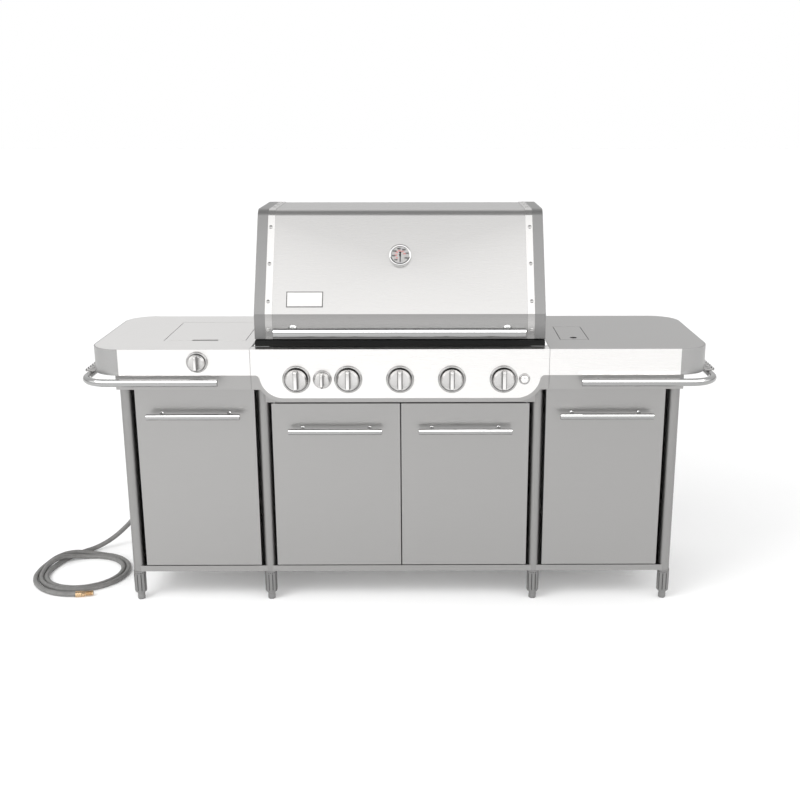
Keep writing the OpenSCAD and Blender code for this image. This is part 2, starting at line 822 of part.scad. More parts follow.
module heat_deflectors() {
    half = 38;
    rise = 26;
    foot = burner_z + burner_r + 4;
    color([0.45, 0.45, 0.44]) for (x = burner_xs)
        translate([x, depth(box_back - box_t - 3), foot]) rotate([90, 0, 0])
            linear_extrude(box_back - box_front - 2 * box_t - 6) polygon([
                [-half, 0], [0, rise], [half, 0], [half - 3, 0], [0, rise - 2.2], [3 - half, 0]
            ]);
}
module cooking_grates() {
    grate_w = (2 * (box_x - box_t) - (grate_n + 1) * grate_gap) / grate_n;
    low = box_front + box_t + grate_gap;
    high = box_back - box_t - grate_gap;
    bar_n = floor((grate_w - grate_bar) / grate_pitch);
    step = (grate_w - grate_bar) / bar_n;
    color([0.08, 0.08, 0.08]) for (g = [0 : grate_n - 1]) {
        x0 = -box_x + box_t + grate_gap + g * (grate_w + grate_gap);
        for (i = [0 : bar_n])
            block([x0 + i * step, low, grate_top - grate_h],
                  [x0 + i * step + grate_bar, high, grate_top]);
        for (d = [low, (low + high - grate_bar) / 2, high - grate_bar])
            block([x0 + overlap, d + overlap, grate_top - grate_h + overlap],
                  [x0 + grate_w - overlap, d + grate_bar - overlap, grate_top - 4]);
    }
}
module warming_rack() {
    rods = 9;
    back = box_back - 20;
    leg_x = box_x + 4;
    color([0.7, 0.7, 0.7]) {
        for (i = [0 : rods - 1])
            bar_x([-leg_x, rack_front + (back - rack_front) * i / (rods - 1), rack_z], 2 * leg_x, rod_r);
        for (x = [-leg_x, 0, leg_x])
            bar_y([x, rack_front - rod_r, rack_z - rod_r], back - rack_front + 2 * rod_r, rod_r);
        for (x = [-leg_x, leg_x], d = [rack_front, back])
            bar_z([x, d, rim_top], rack_z - rim_top, rod_r);
    }
}
module grease_tray() {
    top = middle_header_bottom + runner_h + sheet_t;
    half_d = outlet_d / 2 + 40;
    color([0.55, 0.55, 0.55]) {
        tub(-tray_x + 4, tray_x - 4, outlet_mid - half_d, outlet_mid + half_d,
            top - tray_h, top, sheet_t);
        both_sides() block([tray_x - 4 + sheet_t - overlap, outlet_mid - half_d, top - sheet_t],
                           [tray_x + tray_flange, outlet_mid + half_d, top]);
    }
}
module lid_hinge_brackets() {
    arm = 6;
    color([0.2, 0.2, 0.2]) both_sides() {
        difference() {
            union() {
                block([lid_hinge_x + leaf_w / 2 + 1, box_back + box_t, hinge_z - eye_r],
                      [lid_hinge_x + leaf_w / 2 + 1 + arm, hinge_depth, hinge_z + eye_r]);
                bar_x([lid_hinge_x + leaf_w / 2 + 1, hinge_depth, hinge_z], arm, eye_r);
            }
        }
        bar_x([lid_hinge_x - leaf_w / 2 - 2, hinge_depth, hinge_z], leaf_w + 4, lid_pin_r);
    }
}

// A flat shape and its mirror image on the left.
module both_flats() {
    children();
    mirror([1, 0]) children();
}

// The panel's front, drawn flat; grow widens its lower part and drops its bottom.
module panel_shape(grow) {
    low_x = panel_low_x + grow;
    r = panel_r + grow;
    bottom = panel_bottom - grow;
    intersection() {
        union() {
            translate([-low_x, bottom + r]) square([2 * low_x, counter_h - bottom - r]);
            translate([-low_x + r, bottom]) square([2 * (low_x - r), r + 1]);
            for (side = [-1, 1]) translate([side * (low_x - r), bottom + r]) circle(r, $fn = 96);
        }
        translate([-low_x, bottom]) square([2 * low_x, fascia_bottom - bottom + overlap]);
    }
}
module upright(front, back) {
    translate([0, depth(back), 0]) rotate([90, 0, 0]) linear_extrude(back - front) children();
}
module control_holes(back) {
    for (c = controls) bar_y([c[0], -1, c[1]], back + 2, stem_hole_r);
    bar_y([igniter_x, -1, knob_z], back + 2, button_d / 2 + button_gap);
}
module control_panel() {
    color([0.93, 0.93, 0.92]) difference() {
        union() {
            upright(0, skin_t) {
                translate([-panel_x, fascia_bottom]) square([2 * panel_x, fascia_h - skin_t]);
                panel_shape(0);
                both_flats() difference() {
                    translate([panel_low_x - overlap, fascia_bottom - fillet_r])
                        square(fillet_r + overlap);
                    translate([panel_low_x + fillet_r, fascia_bottom - fillet_r])
                        circle(fillet_r);
                }
            }
            block([-panel_x, 0, counter_h - skin_t - overlap], [panel_x, rim_front - 1, counter_h]);
        }
        control_holes(skin_t);
    }
}
module panel_skirt() {
    color([0.68, 0.68, 0.67]) difference() {
        upright(skirt_front, skirt_front + skirt_t) {
            translate([-panel_x, header_bottom]) square([2 * panel_x, counter_h - header_bottom - 10]);
            panel_shape(lip_w);
        }
        control_holes(skirt_front + skirt_t);
    }
}
module gas_manifold() {
    color([0.55, 0.55, 0.53])
        bar_x([-2 * knob_pitch - 30, manifold_depth, manifold_z], 4 * knob_pitch + 60, manifold_d / 2);
}
module gas_valves() {
    color([0.6, 0.55, 0.4]) difference() {
        for (c = controls) {
            main = c[1] == knob_z;
            top = main ? burner_z + 12 : c[1] + valve_w / 2;
            block([c[0] - valve_w / 2, valve_front, c[1] - valve_w / 2],
                  [c[0] + valve_w / 2, valve_back, top]);
            bar_y([c[0], -stem_end, c[1]], stem_end + valve_front + overlap, stem_r);
            if (main) {
                bar_y([c[0], valve_back - overlap, manifold_z], 8, 5);
                bar_y([c[0], valve_back - overlap, burner_z], 18, 4);
            } else {
                bar_y([c[0], valve_back - overlap, c[1]],
                      cover_front - cover_gap - 4 - bowl_wall - valve_back, 5);
            }
        }
        bar_x([-3 * knob_pitch, manifold_depth, manifold_z], 6 * knob_pitch, manifold_d / 2 + weld_gap);
    }
}
module knob_bezels() {
    lip = 4;
    color([0.75, 0.75, 0.75]) {
        for (c = controls) translate([c[0], depth(0), c[1]]) rotate([90, 0, 0]) difference() {
            cylinder(h = bezel_t, r = c[3] / 2);
            translate([0, 0, bezel_t - lip]) cylinder(h = lip + 1, r = c[3] / 2 - lip);
            translate([0, 0, -1]) cylinder(h = bezel_t, r = stem_hole_r);
        }
        translate([igniter_x, depth(0), knob_z]) rotate([90, 0, 0]) difference() {
            cylinder(h = bezel_t / 2, r = button_d / 2 + 6);
            translate([0, 0, -1]) cylinder(h = bezel_t, r = button_d / 2 + button_gap);
        }
    }
}
module knob(c) {
    r = c[2] / 2;
    grip_w = r / 2.1;
    color([0.8, 0.8, 0.8]) translate([c[0], depth(-knob_back), c[1]]) rotate([90, 0, 0]) difference() {
        union() {
            cylinder(h = knob_t, r = r);
            intersection() {
                translate([-grip_w / 2, -r, knob_t - overlap]) cube([grip_w, 2 * r, grip_t]);
                cylinder(h = knob_t + grip_t, r = r - 1);
            }
        }
        translate([0, 0, -1]) cylinder(h = knob_t - knob_roof + 1.5, r = stem_r + run_gap);
    }
}
module igniter_button() {
    color([0.8, 0.8, 0.8]) translate([igniter_x, depth(-button_out), knob_z]) rotate([-90, 0, 0])
        cylinder(h = button_len, r = button_d / 2);
}

// The lid's outline seen from its end, pushed out by a distance, down to a back height.
function lid_outline(out, back_z) = concat(
    [[lid_front - out, lid_bottom],
     [lid_front - out, crease_z + out * (1 - cos(lid_lean)) / sin(lid_lean)]],
    [for (i = [0 : arc_steps]) front_arc + (lid_front_r + out)
        * [cos(180 - lid_lean - i * (90 - lid_lean) / arc_steps),
           sin(180 - lid_lean - i * (90 - lid_lean) / arc_steps)]],
    [for (i = [0 : arc_steps]) back_arc + (lid_back_r + out)
        * [cos(90 - i * 90 / arc_steps), sin(90 - i * 90 / arc_steps)]],
    [[lid_back + out, back_z]]
);
function reversed(list) = [for (i = [len(list) - 1 : -1 : 0]) list[i]];
module lid_shell(x0, x1, out, thick, back_z) {
    points = concat(lid_outline(out, back_z), reversed(lid_outline(out - thick, back_z)));
    along_x(x0, x1) polygon([for (p = points) [depth(p[0]), p[1]]]);
}
module lid_panel() {
    color([0.88, 0.88, 0.87]) difference() {
        lid_shell(-strip_out, strip_out, 0, lid_t, lid_bottom + back_edge);
        on_slope(0, gauge_up) translate([0, 0, -20]) cylinder(h = 40, r = 8);
    }
}
module lid_end_caps() {
    color([0.66, 0.66, 0.65]) both_sides() {
        lid_shell(strip_out, lid_x, trim_t, cap_t, lid_bottom);
        along_x(lid_x - cap_t, lid_x)
            polygon([for (p = lid_outline(trim_t - cap_t + overlap, lid_bottom)) [depth(p[0]), p[1]]]);
    }
}
module lid_trim_strips() {
    color([0.9, 0.9, 0.9]) both_sides()
        lid_shell(strip_in, strip_out - overlap, trim_t, trim_t, lid_bottom + back_edge);
}
// Things on the leaning face: across from the middle, up the slope from the crease.
module on_slope(x, up) {
    translate([x, depth(lid_front + up * lean_u[0]), crease_z + up * lean_u[1]])
        rotate([90 - lid_lean, 0, 0]) children();
}
module lid_handle() {
    color([0.85, 0.85, 0.85]) {
        bar_x([-lid_bar_w / 2, bar_depth, bar_z], lid_bar_w, lid_bar_d / 2);
        for (x = [-lid_post_x, lid_post_x]) {
            bar_y([x, bar_depth, bar_z], lid_bar_out, 7);
            bar_y([x, lid_front - 8, bar_z], 8, 15);
        }
    }
}
module lid_hinge_leaves() {
    color([0.2, 0.2, 0.2]) both_sides() difference() {
        union() {
            block([lid_hinge_x - leaf_w / 2, hinge_depth + 2, hinge_z],
                  [lid_hinge_x + leaf_w / 2, lid_back - lid_t, lid_bottom + 64]);
            bar_x([lid_hinge_x - leaf_w / 2, hinge_depth, hinge_z], leaf_w, eye_r);
        }
        bar_x([lid_hinge_x - leaf_w, hinge_depth, hinge_z], 2 * leaf_w, lid_pin_r + run_gap);
    }
}
module name_plate() {
    color([0.85, 0.85, 0.85]) on_slope(plate_x, plate_up)
        translate([-plate_w / 2, 0, plate_seat]) cube([plate_w, plate_h, plate_t]);
}
gauge_face = 13;
gauge_rim = 18;
needle_gap = 0.4;
spindle_r = 1.5;
module thermometer_case() {
    color([0.85, 0.85, 0.85]) on_slope(0, gauge_up) difference() {
        union() {
            cylinder(h = gauge_rim, r = gauge_d / 2);
            translate([0, 0, -50]) cylinder(h = 51, r = 5);
        }
        translate([0, 0, gauge_face]) cylinder(h = gauge_rim, r = gauge_d / 2 - 5);
        translate([0, 0, gauge_face - 4]) cylinder(h = gauge_rim, r = spindle_r + run_gap);
    }
}
module thermometer_needle() {
    needle_l = gauge_d / 2 - 10;
    color([0.05, 0.05, 0.05]) on_slope(0, gauge_up) {
        translate([0, 0, gauge_face - 3.5]) cylinder(h = 5, r = spindle_r);
        translate([0, 0, gauge_face + needle_gap]) cylinder(h = 1.4, r = 3.5);
        translate([-0.9, -needle_l, gauge_face + needle_gap]) cube([1.8, needle_l + 10, 1]);
    }
}

// The gas inlet stands on a bracket on the back panel and points along the back.
module gas_inlet() {
    color([0.6, 0.6, 0.6]) {
        difference() {
            union() {
                block([inlet_x + 22, back_leg + sheet_t, inlet_z - 20],
                      [inlet_x + 25, inlet_depth + 12, inlet_z + 20]);
                block([inlet_x + 24, back_leg + sheet_t, inlet_z - 20],
                      [inlet_x + 50, back_leg + sheet_t + 3, inlet_z + 20]);
            }
        }
        bar_x([inlet_x, inlet_depth, inlet_z], 24, 12);
        bar_x([inlet_x + 24, inlet_depth, inlet_z], 18, 8);
    }
}

// The hose is a tube swept along its points on a smooth curve through them.
function spline(p, i, t) =
    let (a = p[max(i - 1, 0)], b = p[i], c = p[i + 1], d = p[min(i + 2, len(p) - 1)])
    0.5 * (2 * b + (c - a) * t + (2 * a - 5 * b + 4 * c - d) * t * t
        + (3 * b - a - 3 * c + d) * t * t * t);
hose_steps = 2;
hose_path = concat(
    [for (i = [0 : len(hose_points) - 2], k = [0 : hose_steps - 1])
        spline(hose_points, i, k / hose_steps)],
    [hose_points[len(hose_points) - 1]]
);
function unit(v) = v / norm(v);
function heading(p, i) = unit(p[min(i + 1, len(p) - 1)] - p[max(i - 1, 0)]);
function hose_ring(p, i) =
    let (along = heading(p, i), side = unit(cross(along, [0, 0, 1])), up = cross(side, along))
    [for (k = [0 : hose_sides - 1])
        p[i] + hose_r * (cos(360 * k / hose_sides) * side + sin(360 * k / hose_sides) * up)
            + [0, front_y, 0]];
module gas_hose() {
    n = len(hose_path);
    points = [for (i = [0 : n - 1]) each hose_ring(hose_path, i)];
    walls = [for (i = [0 : n - 2], k = [0 : hose_sides - 1])
        let (a = i * hose_sides + k, b = i * hose_sides + (k + 1) % hose_sides)
        [a, b, b + hose_sides, a + hose_sides]];
    caps = [reversed([for (k = [0 : hose_sides - 1]) k]),
            [for (k = [0 : hose_sides - 1]) (n - 1) * hose_sides + k]];
    color([0.45, 0.45, 0.44]) polyhedron(points, concat(walls, caps));
}
module hose_coil() {
    color([0.45, 0.45, 0.44]) translate([coil_x, depth(coil_depth), 0]) rotate_extrude($fn = 96)
        translate([coil_in, 0]) square([coil_out - coil_in, coil_h]);
}
module hose_fitting() {
    color([0.85, 0.65, 0.3]) translate([fitting_x, depth(fitting_depth), 11.5])
        rotate([0, 0, fitting_turn]) rotate([0, 90, 0]) {
            cylinder(h = 24, r = 11);
            translate([0, 0, 24 - overlap]) cylinder(h = 14, r = 8.5);
            translate([0, 0, 38 - 2 * overlap]) cylinder(h = 17, r = 9.5);
        }
}

legs();
leg_sleeves();
levelling_feet();
frame_rails();
cabinet_floors();
cabinet_walls();
front_aprons();
door_pivot_pins();
left_table_top();
right_table_top();
table_end_castings();
front_fascias();
side_rails();
hook_combs();
side_burner_bowl();
side_burner_head();
side_burner_grate();
storage_well();
cookbox();
burner_tubes();
heat_deflectors();
cooking_grates();
warming_rack();
grease_tray();
lid_hinge_brackets();
control_panel();
panel_skirt();
gas_manifold();
gas_valves();
knob_bezels();
left_side_door();
left_side_handle();
left_middle_door();
left_middle_handle();
right_middle_door();
right_middle_handle();
right_side_door();
right_side_handle();
knob(controls[0]);  // knob_1
knob(controls[1]);  // knob_2
knob(controls[2]);  // knob_3
knob(controls[3]);  // knob_4
knob(controls[4]);  // knob_5
knob(controls[5]);  // small_knob
knob(controls[6]);  // side_knob
igniter_button();
side_burner_cover();
storage_cover();
lid_panel();
lid_end_caps();
lid_trim_strips();
lid_handle();
lid_hinge_leaves();
name_plate();
thermometer_case();
thermometer_needle();
gas_inlet();
gas_hose();
hose_coil();
hose_fitting();
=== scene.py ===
"""A gas barbecue grill centre: its finishes, turned and cast details, and its hose on the floor."""
import json
import math

import bpy
from mathutils import Matrix, Vector

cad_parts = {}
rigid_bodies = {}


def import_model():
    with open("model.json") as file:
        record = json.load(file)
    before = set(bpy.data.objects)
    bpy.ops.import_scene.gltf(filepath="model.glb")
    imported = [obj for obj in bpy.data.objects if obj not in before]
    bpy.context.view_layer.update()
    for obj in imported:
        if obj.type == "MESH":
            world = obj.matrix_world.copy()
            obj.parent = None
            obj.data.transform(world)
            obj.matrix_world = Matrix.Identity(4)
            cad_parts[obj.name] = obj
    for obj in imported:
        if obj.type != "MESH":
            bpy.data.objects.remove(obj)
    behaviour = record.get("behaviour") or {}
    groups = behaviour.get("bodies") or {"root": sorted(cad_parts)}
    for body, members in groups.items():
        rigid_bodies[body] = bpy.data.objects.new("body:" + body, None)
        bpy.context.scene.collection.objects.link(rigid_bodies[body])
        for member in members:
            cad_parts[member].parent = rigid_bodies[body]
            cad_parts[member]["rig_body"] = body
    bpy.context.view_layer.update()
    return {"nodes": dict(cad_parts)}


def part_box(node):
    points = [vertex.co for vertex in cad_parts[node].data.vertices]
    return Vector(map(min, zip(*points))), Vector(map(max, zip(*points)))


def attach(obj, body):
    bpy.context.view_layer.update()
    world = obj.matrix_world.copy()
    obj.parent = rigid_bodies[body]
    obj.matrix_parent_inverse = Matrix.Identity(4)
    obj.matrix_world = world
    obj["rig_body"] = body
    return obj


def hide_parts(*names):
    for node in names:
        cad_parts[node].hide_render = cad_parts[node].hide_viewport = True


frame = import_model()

MM = 0.001
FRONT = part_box("front_fascias")[0].y          # the fascias' front face
LEAN = math.radians(30)                       # the lid's sloping front
SLOPE_NORMAL = Vector((0, -math.cos(LEAN), math.sin(LEAN)))
SLOPE_UP = Vector((0, math.sin(LEAN), math.cos(LEAN)))
CREASE_Z = 1020                               # where the lid's upright band meets its slope
EDGE_ANGLE = math.radians(32)                 # edges sharper than this stay crisp or get a bevel
WELD = 0.00001                                # points closer than this are merged, in metres
DOORS = ("left_side", "left_middle", "right_middle", "right_side")


def at(x, depth, z):
    """A place from millimetres: x from the middle, depth behind the fascias, z above the floor."""
    return Vector((x * MM, FRONT + depth * MM, z * MM))


def middle(node):
    low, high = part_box(node)
    return (low + high) / 2


# ---- Camera ------------------------------------------------------------------------------------

CAMERA_PLACE = (0.0791, -3.7327, 1.6896)
CAMERA_TURN = (74.70, 0, -0.39)               # degrees about x, y and z
CAMERA_LENS, CAMERA_SHIFT = 48.6, -0.0389


def add_camera():
    data = bpy.data.cameras.new("camera")
    data.lens = CAMERA_LENS
    data.sensor_width = 36
    data.shift_x = CAMERA_SHIFT
    data.clip_end = 100
    camera = bpy.data.objects.new("camera", data)
    camera.location = CAMERA_PLACE
    camera.rotation_euler = [math.radians(turn) for turn in CAMERA_TURN]
    bpy.context.scene.collection.objects.link(camera)
    bpy.context.scene.camera = camera


add_camera()


# ---- Modelling tools ---------------------------------------------------------------------------

def pick(*pieces):
    """Makes these pieces the whole selection and the last of them active."""
    bpy.ops.object.select_all(action="DESELECT")
    for piece in pieces:
        piece.select_set(True)
    bpy.context.view_layer.objects.active = pieces[-1]


def edit(piece, what="NONE"):
    """Opens a piece in edit mode with nothing or everything selected."""
    pick(piece)
    bpy.ops.object.mode_set(mode="EDIT")
    bpy.ops.mesh.select_mode(type="FACE")
    bpy.ops.mesh.select_all(action="SELECT" if what == "ALL" else "DESELECT")


def done():
    bpy.ops.object.mode_set(mode="OBJECT")


def choose(piece, test):
    """Selects the faces that pass a test on their middle and normal; edit mode is open after it."""
    edit(piece)
    done()
    for face in piece.data.polygons:
        face.select = bool(test(face.center, face.normal))
    bpy.ops.object.mode_set(mode="EDIT")


def closed(piece):
    """Merges doubles and turns every face outwards."""
    edit(piece, "ALL")
    bpy.ops.mesh.remove_doubles(threshold=WELD)
    bpy.ops.mesh.normals_make_consistent(inside=False)
    done()
    return piece


def smooth(piece, angle=EDGE_ANGLE):
    pick(piece)
    bpy.ops.object.shade_smooth_by_angle(angle=angle)
    return piece


def level(piece):
    """Weighs the normals by face area, so that flat sheet looks flat beside its rounded edges."""
    weighing = piece.modifiers.new("weighing", "WEIGHTED_NORMAL")
    weighing.keep_sharp = True
    pick(piece)
    bpy.ops.object.modifier_apply(modifier="weighing")
    return piece


def turned(name, profile, centre, axis=(0, -1, 0), steps=48):
    """A turned piece: (radius, height) pairs in millimetres, spun once round an axis."""
    axis = Vector(axis).normalized()
    out = axis.orthogonal().normalized()
    points = [centre + out * (r * MM) + axis * (h * MM) for r, h in profile]
    mesh = bpy.data.meshes.new(name)
    mesh.from_pydata(points, [(i, i + 1) for i in range(len(points) - 1)], [])
    piece = bpy.data.objects.new(name, mesh)
    bpy.context.scene.collection.objects.link(piece)
    pick(piece)
    bpy.ops.object.mode_set(mode="EDIT")
    bpy.ops.mesh.select_all(action="SELECT")
    bpy.ops.mesh.spin(steps=steps, angle=math.tau, center=centre, axis=axis)
    done()
    return smooth(closed(piece))


def bevelled_box(name, low, high, width, segments=2):
    """A box between two corners, its edges bevelled by a width in metres."""
    bpy.ops.object.select_all(action="DESELECT")
    bpy.ops.mesh.primitive_cube_add(size=1, location=(low + high) / 2)
    piece = bpy.context.object
    piece.name = piece.data.name = name
    piece.scale = high - low
    pick(piece)
    bpy.ops.object.transform_apply(location=True, rotation=True, scale=True)
    edit(piece, "ALL")
    bpy.ops.mesh.bevel(offset=width, segments=segments, affect="EDGES")
    done()
    return smooth(piece)


def moved(piece, matrix):
    """Moves a piece's mesh, so that its object stays at the origin."""
    piece.data.transform(matrix)
    return piece


def twin(piece, matrix):
    """A copy with its own mesh, moved."""
    copy = piece.copy()
    copy.data = piece.data.copy()
    bpy.context.scene.collection.objects.link(copy)
    return moved(copy, matrix)


def joined(name, pieces):
    if len(pieces) > 1:
        pick(*pieces[::-1])
        bpy.ops.object.join()
    piece = pieces[0]
    piece.name = piece.data.name = name
    return piece


def mirrored(name, pieces):
    """The pieces and their twins on the left, as one piece."""
    twins = [closed(twin(p, Matrix.Scale(-1, 4, (1, 0, 0)))) for p in pieces]
    return joined(name, pieces + [smooth(t) for t in twins])


def lay_on(origin, x_axis, y_axis):
    """The matrix that carries a flat drawing to a place on a surface."""
    x, y = Vector(x_axis).normalized(), Vector(y_axis).normalized()
    z = x.cross(y)
    turn = Matrix((x, y, z)).transposed().to_4x4()
    return Matrix.Translation(origin) @ turn


def finish(piece, material, body, slot, *nodes):
    """Gives a piece a body and, unless it has one, a material, and hides the nodes it stands for;
    the slot argument is not used.
    """
    if not piece.data.materials:
        piece.data.materials.append(material)
    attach(piece, body)
    if nodes:
        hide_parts(*nodes)
    return piece


# ---- Materials ---------------------------------------------------------------------------------

def new_material(name, colour, metallic, roughness):
    material = bpy.data.materials.new(name)
    material.use_nodes = True
    shader = material.node_tree.nodes["Principled BSDF"]
    shader.inputs["Base Color"].default_value = (*colour, 1)
    shader.inputs["Metallic"].default_value = metallic
    shader.inputs["Roughness"].default_value = roughness
    material.diffuse_color = (*colour, 1)
    return material, material.node_tree, shader


def node(tree, kind, **values):
    made = tree.nodes.new(kind)
    for key, value in values.items():
        if key in made.inputs:
            made.inputs[key].default_value = value
        else:
            setattr(made, key, value)
    return made


def noise(tree, scale, stretch=(1, 1, 1), detail=3.0):
    """Noise on Object coordinates, stretched along the axes."""
    place = tree.nodes.new("ShaderNodeTexCoord")
    mapping = node(tree, "ShaderNodeMapping", Scale=stretch)
    made = node(tree, "ShaderNodeTexNoise", Scale=scale, Detail=detail)
    tree.links.new(place.outputs["Object"], mapping.inputs["Vector"])
    tree.links.new(mapping.outputs["Vector"], made.inputs["Vector"])
    return made


def spread(tree, source, low, high, socket):
    """Carries a noise to a socket between two values."""
    ramp = node(tree, "ShaderNodeMapRange", **{"To Min": low, "To Max": high})
    ramp.inputs["From Min"].default_value = 0.3
    ramp.inputs["From Max"].default_value = 0.7
    tree.links.new(source.outputs["Fac"], ramp.inputs["Value"])
    tree.links.new(ramp.outputs["Result"], socket)


def tint(tree, source, dark, light, socket):
    """Carries a noise to a colour socket between two colours."""
    ramp = tree.nodes.new("ShaderNodeValToRGB")
    ramp.color_ramp.elements[0].position = 0.3
    ramp.color_ramp.elements[0].color = (*dark, 1)
    ramp.color_ramp.elements[1].position = 0.7
    ramp.color_ramp.elements[1].color = (*light, 1)
    tree.links.new(source.outputs["Fac"], ramp.inputs["Fac"])
    tree.links.new(ramp.outputs["Color"], socket)


def dents(tree, source, shader, distance, strength):
    bump = node(tree, "ShaderNodeBump", Strength=strength, Distance=distance)
    tree.links.new(source.outputs["Fac"], bump.inputs["Height"])
    tree.links.new(bump.outputs["Normal"], shader.inputs["Normal"])


def scaled(colour, factor):
    return tuple(min(1.0, c * factor) for c in colour)


def brushed(name, level, roughness, grain=(1, 150, 150), warmth=0.975):
    """Brushed sheet metal: fine scratches along one axis, and a slow wander of tone."""
    colour = (level, level * (1 + warmth) / 2, level * warmth)
    material, tree, shader = new_material(name, colour, 1.0, roughness)
    scratches = noise(tree, 11.0, grain, 4.0)
    tint(tree, scratches, scaled(colour, 0.98), scaled(colour, 1.015), shader.inputs["Base Color"])
    spread(tree, scratches, roughness * 0.85, roughness * 1.15, shader.inputs["Roughness"])
    dents(tree, scratches, shader, 0.00003, 0.14)
    return material


def polished(name, level, roughness=0.07):
    """Chrome or polished tube, with faint wiping marks."""
    material, tree, shader = new_material(name, (level, level, level * 0.995), 1.0, roughness)
    wiping = noise(tree, 14.0, (1, 1, 1), 3.0)
    spread(tree, wiping, roughness * 0.8, roughness * 1.5, shader.inputs["Roughness"])
    return material


def cast_metal(name, level, roughness, grain=900.0, depth=0.00012, warmth=0.985):
    """Painted or bare cast metal with a fine sandy skin."""
    colour = (level, level * (1 + warmth) / 2, level * warmth)
    material, tree, shader = new_material(name, colour, 0.85, roughness)
    sand = noise(tree, grain, (1, 1, 1), 2.0)
    tint(tree, sand, scaled(colour, 0.93), scaled(colour, 1.06), shader.inputs["Base Color"])
    spread(tree, sand, roughness * 0.9, roughness * 1.1, shader.inputs["Roughness"])
    dents(tree, sand, shader, depth, 0.4)
    return material


def enamel(name, colour, roughness):
    """Glossy fired enamel with a slight orange peel."""
    material, tree, shader = new_material(name, colour, 0.0, roughness)
    shader.inputs["Specular IOR Level"].default_value = 0.15
    peel = noise(tree, 160.0, (1, 1, 1), 2.0)
    spread(tree, peel, roughness * 0.85, roughness * 1.2, shader.inputs["Roughness"])
    tint(tree, peel, scaled(colour, 0.85), scaled(colour, 1.2), shader.inputs["Base Color"])
    dents(tree, peel, shader, 0.0001, 0.3)
    return material


def rubber(name, colour):
    """A hose's outer skin, soft and slightly dusty."""
    material, tree, shader = new_material(name, colour, 0.0, 0.42)
    dust = noise(tree, 55.0, (1, 1, 1), 4.0)
    tint(tree, dust, scaled(colour, 0.85), scaled(colour, 1.18), shader.inputs["Base Color"])
    spread(tree, dust, 0.36, 0.52, shader.inputs["Roughness"])
    dents(tree, noise(tree, 700.0, (1, 1, 1), 2.0), shader, 0.00008, 0.3)
    return material


def clear_glass(name):
    """Thin clear glass over the dial."""
    material, tree, shader = new_material(name, (1, 1, 1), 0.0, 0.03)
    shader.inputs["Transmission Weight"].default_value = 1.0
    shader.inputs["IOR"].default_value = 1.1
    spread(tree, noise(tree, 30.0), 0.02, 0.05, shader.inputs["Roughness"])
    return material


STEEL_LID = brushed("brushed_steel_lid", 0.52, 0.30)
STEEL_PANEL = brushed("brushed_steel_panel", 0.85, 0.30)
# Darker copies of the lid's steel, trim and casting for the band below the crease: painted shade.
STEEL_BAND_PAINTED_SHADE = brushed("brushed_steel_lid_band_painted_shade", 0.23, 0.30)
TRIM_BAND_PAINTED_SHADE = brushed("steel_trim_band_painted_shade", 0.30, 0.24)
CAST_BAND_PAINTED_SHADE = cast_metal("cast_aluminium_lid_band_painted_shade", 0.19, 0.42)
STEEL_TABLE = brushed("brushed_steel_table", 0.87, 0.32)
# The right table and storage cover are the same steel as the left table; this darker copy is painted
# shade.
RIGHT_TABLE_PAINTED_SHADE = brushed("right_table_steel_painted_shade", 0.46, 0.34)
STEEL_DOOR = brushed("brushed_steel_door", 0.36, 0.34)
STEEL_SHEET = brushed("sheet_steel_inside", 0.45, 0.42, (90, 90, 1))
STEEL_SKIRT = brushed("satin_steel_skirt", 0.38, 0.38)
STEEL_FRAME = brushed("satin_steel_tube", 0.31, 0.46, (150, 150, 1))
STEEL_RAIL = brushed("satin_steel_rail", 0.34, 0.34)
STEEL_TRIM = brushed("bright_steel_trim", 0.62, 0.20, (1, 90, 90))
CHROME = polished("chrome", 0.38)
# A brighter copy of the chrome for the thermometer's rim: painted highlight.
GAUGE_CHROME_PAINTED_HIGHLIGHT = polished("gauge_chrome", 0.66, 0.14)
# Dark polish of the lid handle's washers, also a painted reflection on the thermometer rim's lower
# lip.
DARK_WASHER_AND_LIP_REFLECTION = polished("dark_washer_and_painted_reflection", 0.16, 0.2)
POST_METAL = polished("door_post", 0.30, 0.2)
CAST_TABLE = cast_metal("cast_aluminium_table", 0.38, 0.36)
CAST_CAP = cast_metal("cast_aluminium_lid", 0.27, 0.42)
CAST_IRON = cast_metal("cast_iron", 0.05, 0.62, 500.0, 0.0003)
COOKBOX_BLACK = enamel("black_enamel", (0.007, 0.007, 0.007), 0.40)
ALUMINISED = brushed("aluminised_steel", 0.50, 0.45)
ROD_STEEL = polished("bright_steel_rod", 0.72, 0.18)
KNOB_METAL = brushed("satin_knob", 0.62, 0.26, (60, 60, 60))
# A brighter copy of the knob's satin metal for the grip bar: painted highlight.
KNOB_GRIP_PAINTED_HIGHLIGHT = brushed("grip_painted_highlight", 0.80, 0.22, (60, 60, 60))
# A dark copy of the knob's metal: painted shade on the grip's sides; the pointer boss uses it too.
GRIP_SIDE_SHADE_AND_BOSS = brushed("grip_side_painted_shade_and_boss", 0.22, 0.30, (60, 60, 60))
PLATE_RIM = brushed("plate_rim", 0.16, 0.35, (60, 60, 60))
PLATE_FACE = brushed("plate_face", 0.72, 0.35)
BEZEL_METAL = brushed("satin_bezel", 0.42, 0.18, (60, 60, 60))
BEZEL_BRIGHT = brushed("bright_bezel", 0.90, 0.16, (60, 60, 60))
SLEEVE_METAL = cast_metal("moulded_grey_metal", 0.25, 0.34)
